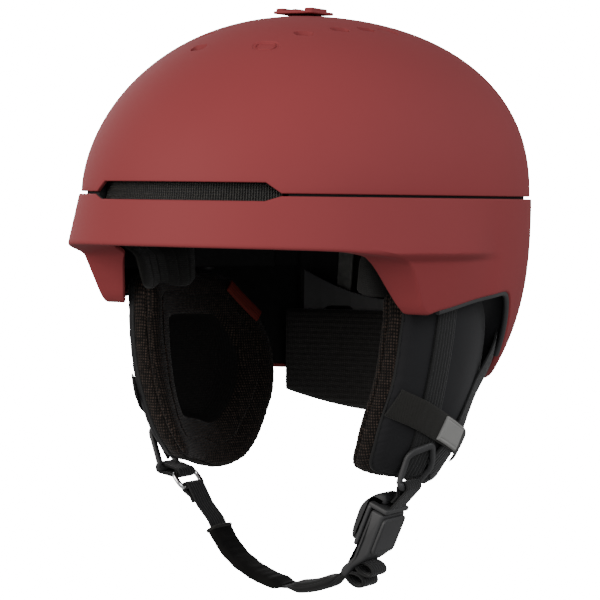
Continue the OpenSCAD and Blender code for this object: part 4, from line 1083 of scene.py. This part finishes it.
@dataclass(frozen=True)
class Ribbon:
    """A strap that lies over an ear flap: its middle line in y and z, its width, lift and thickness."""

    line: Sequence[Sequence[float]]
    width: float
    lift: Callable[[Array], Array]
    thick: float

    def surface(self, above: float, shape: Callable[[Array, Array], Array], rows: int = 110,
                columns: int = 17) -> Array:
        """The ribbon's grid of points.

        Args:
            above: how far over the underside this surface is.
            shape: takes length in mm and the place across it, -1 to 1, and gives more height.
            rows: points along the line.
            columns: points across it.

        Returns:
            An array of shape (rows, columns, 3).
        """
        line = resample(spline(self.line, 10), rows)
        way = unit(np.gradient(line, axis=0))
        across = np.stack([-way[:, 1], way[:, 0]], 1) * self.width / 2
        w = np.sin(np.linspace(-1, 1, columns) * math.pi / 2)
        q = line[:, None] + across[:, None] * w[None, :, None]
        length = np.concatenate([[0], np.cumsum(np.linalg.norm(np.diff(line, axis=0), axis=1))])
        lift = self.lift(line[:, 0])[:, None] + above + shape(length[:, None], w[None, :])
        return np.stack([pad_x(q[..., 0], q[..., 1]) + lift, q[..., 0], q[..., 1]], -1)


def flat(length: Array, w: Array) -> Array:
    """No more height."""
    return 0.0 * length * w


def woven_edge(length: Array, w: Array) -> Array:
    """A ribbon's edges fall away by 0.35 |w|^10, and its face ripples by a few hundredths."""
    return -0.35 * np.abs(w)**10 + 0.05 * np.sin(length * 0.9) * (1 - w * w)


class Straps(Pieces):
    """The webbing over the flaps, with its keepers, labels and dividers."""

    def build(self) -> None:
        """Makes both sides."""
        front = Ribbon([[-17, -50], [-18, -62], [-19.5, -80], [-20.5, -100], [-20, -115], [-19, -128],
                        [-18.5, -141]],
                       15.0, lambda y: 0.2 + 0 * y, 1.2)
        rear = Ribbon([[52, -72], [45, -82], [36, -93], [26, -104], [15, -116], [3, -128], [-8, -138.5]],
                      15.0, lambda y: 0.2 + 1.2 * smooth((24 - y) / 16) + 6.0 * smooth((y - 28) / 24), 1.2)
        keeper = Ribbon([[-45.5, -101.4], [-36, -105.6], [-24, -110.8], [-8, -117.5], [8, -123], [20, -127],
                         [31, -131.5]],
                        14.0, lambda y: 0.3 + 2.5 * smooth((y + 45.5) / 16) * smooth((40 - y) / 14), 0.9)
        label = Ribbon([[-13, -115.8], [-6, -118.4], [1, -121], [9, -123.6]], 12.4, lambda y: 3.7 + 0 * y,
                       1.3)
        for side in ("left", "right"):
            for name, ribbon, look, node in (("front_web", front, "black_webbing", "front_strap_"),
                                             ("rear_web", rear, "black_webbing", "rear_strap_"),
                                             ("keeper_band", keeper, "grosgrain", "pad_loop_")):
                top = ribbon.surface(ribbon.thick, woven_edge)
                obj = self.maker.band(f"{name}_{side}", mirrored(top, side),
                                      mirrored(ribbon.surface(0, flat), side))
                self.dress(obj, [look], nodes=[node + side])
            top = label.surface(label.thick, self.label_face, 120, 61)
            obj = self.maker.band("label_" + side, mirrored(top, side),
                                  mirrored(label.surface(0, flat, 120, 61), side))
            self.dress(obj, ["label_rubber"], nodes=["badge_" + side])
            self.divider(side)

    @staticmethod
    def label_face(length: Array, w: Array) -> Array:
        """A label's face: rounded at its rim and pressed in along a line 1.3 mm from it."""
        rim = np.minimum(np.minimum(length, length.max() - length), (1 - np.abs(w)) * 6.0)
        return -0.5 * (1 - np.clip(rim / 0.5, 0, 1))**2 - 0.3 * np.exp(-((rim - 1.4) / 0.28)**2)

    def divider(self, side: str) -> None:
        """The moulded frame where the two straps meet, with the bar that the lower strap turns round."""
        rows = rounded([[-28.4, -146], [-28.2, -128], [-15.5, -124.4], [-9.5, -135], [-9.6, -146]], 3.0, 6)
        over = pad_x(rows[:, 0], np.maximum(rows[:, 1], -140)) + 2.9
        x = lerp(73.0, over, smooth((rows[:, 1] + 146) / 8))
        path = mirrored(np.stack([x, rows[:, 0], rows[:, 1]], 1), side)
        frame_piece = self.tube("strap_divider_" + side, path, mirrored(np.array([1.0, 0, 0]), side),
                                  1.8, 1.3, closed=True, power=3.2, sides=16)
        self.dress(frame_piece, ["black_plastic"], nodes=["divider_" + side])


# ---------------------------------------------------------------------------------------------
# Chin strap and buckle
# ---------------------------------------------------------------------------------------------
STRAP_Y, WEB, WEB_THICK = -19.0, 15.0, 1.4
BAR, RING_TOP, RING_LOW = np.array([73.0, -146.0]), np.array([-63.0, -148.2]), np.array([-57.0, -155.2])
BUCKLE, TILT = np.array([62.0, -172.0]), 22.6
CHIN = [[-42.5, -171.5], [-37.5, -180], [-30, -188.8], [-19.5, -195.8], [-7, -200.6], [5, -202.6],
        [18, -201.4], [30, -197.4], [37.5, -192.6]]


def at_buckle(n: Array, y: Array, z: Array) -> Array:
    """From the buckle's own axes, outwards n and up along the strap z, to the helmet's."""
    a = math.radians(TILT)
    return np.stack([BUCKLE[0] + n * math.cos(a) + z * math.sin(a), STRAP_Y + y,
                     BUCKLE[1] - n * math.sin(a) + z * math.cos(a)], -1)


def fold(bar: Array, way: Array, thick: float, run: float, back: float) -> Array:
    """A path in x and z that comes from the far end, turns round a bar and lies back on itself."""
    r = thick / 2 + 0.08 + WEB_THICK / 2
    side = np.array([-way[1], way[0]])
    lead = [bar + way * t + side * r * (1 - t / run) for t in (run, run * 0.7, run * 0.4, run * 0.18)]
    turn = [bar + r * (side * math.cos(a) - way * math.sin(a)) for a in np.radians(range(0, 181, 20))]
    tail = [bar + way * 1.6 - side * r * 0.98]
    tail += [bar + way * t + side * (r * (1 - t / run) - WEB_THICK - 0.5) for t in (5.5, back)]
    return np.array(lead + turn + tail)


class ChinStrap(Pieces):
    """The strap under the chin, from the ring on the wearer's right to the buckle on the left."""

    def build(self) -> None:
        """Makes the strap, its sleeve, the ring and the tab that holds it."""
        way = unit(np.array([-46.5, -167.5]) - RING_LOW)
        chin = spline(CHIN[::-1], 12)
        path = np.vstack([chin, fold(RING_LOW, way, 2.6, 12, 9)])
        plump = self.plump(path)
        self.dress(self.tape("chin_web", path, plump=plump), ["black_webbing"], "chin_strap",
                   ["chin_webbing"])
        sleeve = self.sleeve()
        self.dress(sleeve, ["chin_fabric"], "chin_strap", ["chin_pad"])
        self.cuffs()
        self.ring_and_tab()
        self.rolls()

    @staticmethod
    def plump(path: Array) -> Array:
        """How much thicker the strap is where it is doubled, between the sleeve and the buckle."""
        x = path[:, 0]
        return np.where(path[:, 1] < -185, 5.2 * smooth((x - 5) / 7) * smooth((36 - x) / 7), 0.0)

    def tape(self, name: str, path: Array, width: float = WEB, thick: float = WEB_THICK, closed: bool = False,
             plump: Optional[Array] = None,
             place: Optional[Callable[[Array], Array]] = None) -> bpy.types.Object:
        """A strap along a path in x and z, its width along y and its edges a little thinner."""
        if closed:
            way = unit(np.roll(path, -1, 0) - np.roll(path, 1, 0))
        else:
            way = unit(np.gradient(path, axis=0))
        normal = np.stack([-way[:, 1], way[:, 0]], 1)
        w = np.sin(np.linspace(-1, 1, 15) * math.pi / 2)
        swell = np.zeros(len(path)) if plump is None else plump
        half = (thick + swell[:, None] * (1 - w[None] ** 4)) / 2 - 0.22 * np.abs(w[None])**10
        wide = (width + swell * 0.5)[:, None] / 2 * w[None]
        sheets = []
        for sign in (1, -1):
            q = path[:, None] + normal[:, None] * (sign * half)[..., None]
            sheets.append(np.stack([q[..., 0], STRAP_Y + wide + 0 * half, q[..., 1]], -1))
        ring = np.concatenate([sheets[0], sheets[1][:, ::-1]], 1)
        if place is not None:
            ring = place(ring)
        return self.maker.grid(name, ring, (closed, True), not closed)

    def sleeve(self) -> bpy.types.Object:
        """The fleece sleeve over the strap: an oval tube that is pinched where it ends under the chin."""
        path = resample(spline([[-40.1, -176], [-37.5, -180], [-34.1, -184.5], [-30, -188.8], [-25.2, -192.5],
                                [-19.5, -195.8],
                                [-13.4, -198.5], [-7, -200.6], [-1, -201.9], [3.6, -202.5]], 8), 110)
        way = unit(np.gradient(path, axis=0))
        normal = np.stack([-way[:, 1], way[:, 0]], 1)
        s = np.linspace(0, 1, len(path))
        t = np.linspace(0, 2 * math.pi, 48, endpoint=False)
        pinch = 1 - 0.55 * smooth((s - 0.86) / 0.14)
        wide = 9.5 * (1 - 0.18 * smooth((s - 0.9) / 0.1)) * (1 + 0.03 * np.sin(s * 31))
        high = 3.15 * pinch * (1 + 0.03 * np.sin(s * 43 + 1) + 0.015 * np.sin(s * 83))
        c, d = np.cos(t), np.sin(t)
        c, d = np.sign(c) * np.abs(c)**0.72, np.sign(d) * np.abs(d)**0.72
        wrinkle = 1 + 0.02 * np.sin(s[:, None] * 70 + 2 * t[None])
        ring = path[:, None] + normal[:, None] * (high[:, None] * d[None] * wrinkle)[..., None]
        points = np.stack([ring[..., 0], STRAP_Y + wide[:, None] * c[None], ring[..., 1]], -1)
        middle = np.stack([path[:, 0], np.full(len(path), STRAP_Y), path[:, 1]], 1)
        ends = [middle[0] + (points[0] - middle[0]) * 0.86, middle[-1] + (points[-1] - middle[-1]) * 0.8]
        points = np.concatenate([ends[0][None], points, ends[1][None]])
        return self.maker.grid("chin_sleeve", points, (False, True), True)

    def cuffs(self) -> None:
        """The cord sewn round the sleeve's open end."""
        way = unit(np.array([2.6, -4.2]))
        normal = np.array([-way[1], way[0]])
        t = np.linspace(0, 2 * math.pi, 72, endpoint=False)
        c, d = np.cos(t), np.sin(t)
        c, d = 9.6 * np.sign(c) * np.abs(c)**0.72, 3.3 * np.sign(d) * np.abs(d)**0.72
        path = np.stack([-40.0 + normal[0] * d, STRAP_Y + c, -176.2 + normal[1] * d], 1)
        cord = self.tube("sleeve_piping", path, np.array([way[0], 0, way[1]]), 0.75, 0.9, closed=True,
                         sides=8)
        self.dress(cord, ["grosgrain"], "chin_strap")

    def ring_and_tab(self) -> None:
        """The wire ring, and the short strap that holds it to the divider."""
        half, reach = WEB / 2 + 2.9, np.linalg.norm(RING_LOW - RING_TOP) / 2
        down, mid = unit(RING_LOW - RING_TOP), (RING_LOW + RING_TOP) / 2
        outline = rounded([[half, reach], [-half, reach], [-half, -reach], [half, -reach]], 3.4, 9)
        path = np.stack([mid[0] + down[0] * outline[:, 1], STRAP_Y + outline[:, 0],
                         mid[1] + down[1] * outline[:, 1]], 1)
        ring = self.tube("wire_ring", path, np.array([-down[1], 0.0, down[0]]), 1.3, 1.3, closed=True,
                         sides=20)
        self.dress(ring, ["chrome"], nodes=["strap_ring"])
        bar = BAR * [-1, 1]
        way = unit(RING_TOP - bar)
        side = np.array([-way[1], way[0]])
        r, q = 3.6 / 2 + 0.78, 2.6 / 2 + 0.78
        path = [bar + r * (side * math.cos(a) - way * math.sin(a)) for a in np.radians(range(0, 181, 15))]
        path += [RING_TOP + q * (side * math.cos(a) - way * math.sin(a)) for a in np.radians(range(180, 361,
                                                                                                   15))]
        self.dress(self.tape("ring_tab", np.array(path), closed=True), ["black_webbing"], nodes=["strap_tab"])

    def rolls(self) -> None:
        """The spare strap, rolled up under the buckle in two loops."""
        t = np.linspace(0, 2 * math.pi, 60, endpoint=False)
        for k, (n, z) in enumerate(((-3.4, -19.8), (-5.8, -27.2))):
            flat_path = np.stack([n + 5.4 * np.cos(t), z + 2.9 * np.sin(t) * (1 + 0.15 * np.cos(t))], 1)
            roll = self.tape(f"slack_roll_{k + 1}", flat_path, WEB + 0.6 * k, 1.3, True,
                             place=lambda p: at_buckle(p[..., 0], p[..., 1] - STRAP_Y, p[..., 2]))
            self.dress(roll, ["black_webbing"], "chin_strap", ["slack_rolls"] if k == 0 else [])


class Buckle(Pieces):
    """The magnetic buckle: the body on the chin strap, and the catch that hangs on the wearer's left."""

    def build(self) -> None:
        """Makes both halves and the strap of the catch."""
        maker = self.maker

        def on_edge(taper: float) -> Callable[[Array], Array]:
            """Places an outline in n and z, its thickness along y and narrower towards its foot."""
            return lambda p: at_buckle(p[..., 0], p[..., 2] * (1 - taper * np.clip((-11 - p[..., 1]) / 17, 0,
                                                                                   1)), p[..., 1])

        body = rounded([[-9.6, 12], [-1.6, 12], [-1.6, -11], [-3.4, -14.5], [-8.4, -21], [-11, -28.5],
                        [-14.6, -28],
                        [-14.6, -24.5], [-9.6, -15.5]], 2.2, 6)
        self.dress(maker.slab("buckle_shell", body, 12.0, 1.6, on_edge(0.3)), ["black_plastic"], "chin_strap",
                   ["buckle_body"])
        plate = rounded([[-11.4, -10], [11.4, -10], [11.4, 10.4], [-11.4, 10.4]], 3.6, 8)
        face = maker.slab("buckle_plate", plate, 0.8, 0.45,
                          lambda p: at_buckle(-0.8 + p[..., 2], p[..., 0], p[..., 1]))
        self.dress(face, ["black_plastic"], "chin_strap", ["buckle_cover"])
        rim = rounded([[-10.2, -8.9], [10.2, -8.9], [10.2, 9.3], [-10.2, 9.3]], 3.0, 8)
        path = at_buckle(np.zeros(len(rim)) - 0.1, rim[:, 0], rim[:, 1])
        rib = self.tube("plate_rim", path, at_buckle(1, 0, 0) - at_buckle(0, 0, 0), 0.45, 0.4, closed=True,
                        sides=8)
        self.dress(rib, ["black_plastic"], "chin_strap")
        collar = maker.block("catch_collar", (11.6, 24, 2.8), 1.0,
                             lambda p: at_buckle(p[:, 0] - 6.4, p[:, 1], p[:, 2] + 13.8), 12)
        self.dress(collar, ["black_plastic"], "catch", ["buckle_catch"])
        tongue = maker.block("catch_tongue", (2.2, 24, 22.4), 0.8,
                             lambda p: at_buckle(p[:, 0] - 11.1, p[:, 1], p[:, 2] + 2.2), 12)
        self.dress(tongue, ["black_plastic"], "catch")
        grip = rounded([[-5.2, 15.2], [-5.6, 18.4], [-7.4, 20.4], [-10, 20.4], [-13, 18], [-17, 12.6],
                        [-18.4, 8],
                        [-17.8, -4], [-16.4, -8], [-13.6, -8.6], [-12.3, -6.5], [-12.3, 15.2]], 2.0, 6)
        self.dress(maker.slab("pull_grip", grip, 8.0, 2.2, on_edge(0)), ["grip_rubber"], "catch",
                   ["catch_grip"], "label_rubber")
        slot = at_buckle(-2.8, 0.0, 12.8)[[0, 2]]
        way = unit(slot - BAR)
        path = fold(BAR, way, 3.6, float(np.linalg.norm(slot - BAR)), 10)
        web = ChinStrap(maker, self.finishes).tape("catch_web", path)
        self.dress(web, ["black_webbing"], "catch", ["catch_webbing"])


class GoggleHook(Pieces):
    """The hinged hook at the back that holds a goggle strap."""

    def build(self) -> None:
        """Makes the hook; its base and pin are the frame's own."""
        pin = np.array([142.1, -17.0])
        a = np.radians(np.arange(-20, 201, 12))
        head = np.stack([pin[0] + 2.5 * np.cos(a), pin[1] + 2.5 * np.sin(a)], 1)
        tail = rounded([[141.5, -22], [141.5, -45.4], [139.8, -45.4], [139.8, -48], [144.1, -48],
                        [144.1, -21]], 0.7, 5)
        outline = np.vstack([head, tail])
        hook = self.maker.slab("strap_hook", outline, 8.5, 0.6,
                               lambda p: np.stack([p[..., 2], p[..., 0], p[..., 1]], -1))
        self.dress(hook, ["black_plastic"], "goggle_hook", ["goggle_hook"])


# ---------------------------------------------------------------------------------------------
# The frame's own pieces, the studio and the camera
# ---------------------------------------------------------------------------------------------
KEPT = {"vent_shutter": "black_plastic", "fit_halo": "black_plastic", "halo_anchors": "black_plastic",
        "rear_cradle": "black_plastic", "cradle_strap_left": "grey_webbing",
        "cradle_strap_right": "grey_webbing",
        "dial_housing": "black_plastic", "housing_screws": "steel", "lace": "grey_webbing",
        "dial_spindle": "steel",
        "pad_snaps": "black_plastic", "strap_anchors": "steel", "body_magnet": "steel",
        "catch_magnet": "steel",
        "goggle_hook_base": "black_plastic", "goggle_hook_pin": "steel"}


COOL = (0.95, 0.97, 1.0)
LIGHTS = (("key", (-0.75, -1.7, 0.55), 1.1, 27.0, (1.0, 0.97, 0.94)),
          ("fill", (1.5, -1.1, 0.5), 1.2, 14.0, (0.96, 0.97, 1.0)),
          ("edge_left", (-1.3, 0.7, 0.5), 0.9, 5.0, COOL),
          ("edge_right", (1.4, 0.8, 0.9), 0.9, 8.0, COOL))
EYE, TARGET, ROLL = (0.6174, -1.0591, 0.0), (-0.0026, -0.0015, -0.055), 0.733
LENS, SENSOR = 140.2, 36.0
SKY_LIGHT, SKY_SEEN = 0.33, 18.0                        # the white, as it lights the helmet and as it is seen


class Studio:
    """The camera, the soft lights and the pale surround."""

    def build(self) -> None:
        """Makes all of them."""
        self.camera()
        for row in LIGHTS:
            self.light(*row)
        self.surround()

    def camera(self) -> None:
        """A long lens level with the parting line, seen from the wearer's left of the front."""
        data = bpy.data.cameras.new("camera")
        data.lens, data.sensor_width = LENS, SENSOR
        camera = bpy.data.objects.new("camera", data)
        bpy.context.scene.collection.objects.link(camera)
        eye, target = Vector(EYE), Vector(TARGET)
        camera.location = eye
        turn = (target - eye).to_track_quat("-Z", "Y").to_matrix() @ Matrix.Rotation(math.radians(ROLL), 3,
                                                                                     "Z")
        camera.rotation_euler = turn.to_euler()
        bpy.context.scene.camera = camera

    def light(self, name: str, place: tuple[float, float, float], size: float, power: float,
              colour: tuple[float, float, float]) -> None:
        """A square soft light that faces the helmet."""
        data = bpy.data.lights.new(name, "AREA")
        data.shape, data.size, data.energy, data.color = "SQUARE", size, power, colour
        lamp = bpy.data.objects.new(name, data)
        lamp.location = place
        lamp.rotation_euler = (Vector((0, 0, -0.04)) - Vector(place)).to_track_quat("-Z", "Y").to_euler()
        bpy.context.scene.collection.objects.link(lamp)

    def surround(self) -> None:
        """A round floor that curves up into a wall, and an even white sky over it."""
        r = np.concatenate([np.linspace(0.05, 3.0, 12),
                            3.0 + 1.5 * np.sin(np.radians(np.linspace(5, 90, 18)))])
        z = np.concatenate([np.full(12, -0.75), 0.75 - 1.5 * np.cos(np.radians(np.linspace(5, 90, 18)))])
        t = np.linspace(0, 2 * math.pi, 96, endpoint=False)
        rings = np.stack([r[:, None] * np.cos(t), r[:, None] * np.sin(t), z[:, None] + 0 * t], -1) / MM
        floor = Maker().grid("surround", rings, (False, True))
        material = bpy.data.materials.new("pale_surround")
        material.use_nodes = True
        material.node_tree.nodes.clear()
        g = Graph(material.node_tree)
        seen = g.add("LightPath").outputs["Is Camera Ray"]
        dim = g.add("Emission", {"Color": (1, 1, 1, 1), "Strength": SKY_LIGHT})
        bright = g.add("Emission", {"Color": (1, 1, 1, 1), "Strength": SKY_SEEN})
        mix = g.add("MixShader", {0: seen, 1: dim.outputs[0], 2: bright.outputs[0]})
        g.add("OutputMaterial", {0: mix.outputs[0]})
        floor.data.materials.append(material)
        world = bpy.data.worlds.new("sky")
        world.use_nodes = True
        world.node_tree.nodes.clear()
        g = Graph(world.node_tree)
        seen = g.add("LightPath").outputs["Is Camera Ray"]
        dim = g.add("Background", {"Color": (1, 1, 1, 1), "Strength": SKY_LIGHT})
        bright = g.add("Background", {"Color": (1, 1, 1, 1), "Strength": SKY_SEEN})
        mix = g.add("MixShader", {0: seen, 1: dim.outputs[0], 2: bright.outputs[0]})
        g.add("OutputWorld", {0: mix.outputs[0]})
        bpy.context.scene.world = world


def main() -> None:
    """Builds every piece, dresses the frame's own, and sets the studio round them."""
    logging.basicConfig(level=logging.INFO, format="%(message)s")
    maker, finishes = Maker(), Finishes()
    for group in (Shells, Padding, FitSystem, EarPads, Straps, ChinStrap, Buckle, GoggleHook):
        group(maker, finishes).build()
    for node, look in KEPT.items():
        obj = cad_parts[node]
        obj.data.materials.clear()
        obj.data.materials.append(finishes.get(look))
    Studio().build()
    LOG.info("%d pieces made", len(maker.made))


if __name__ == "__main__":
    main()
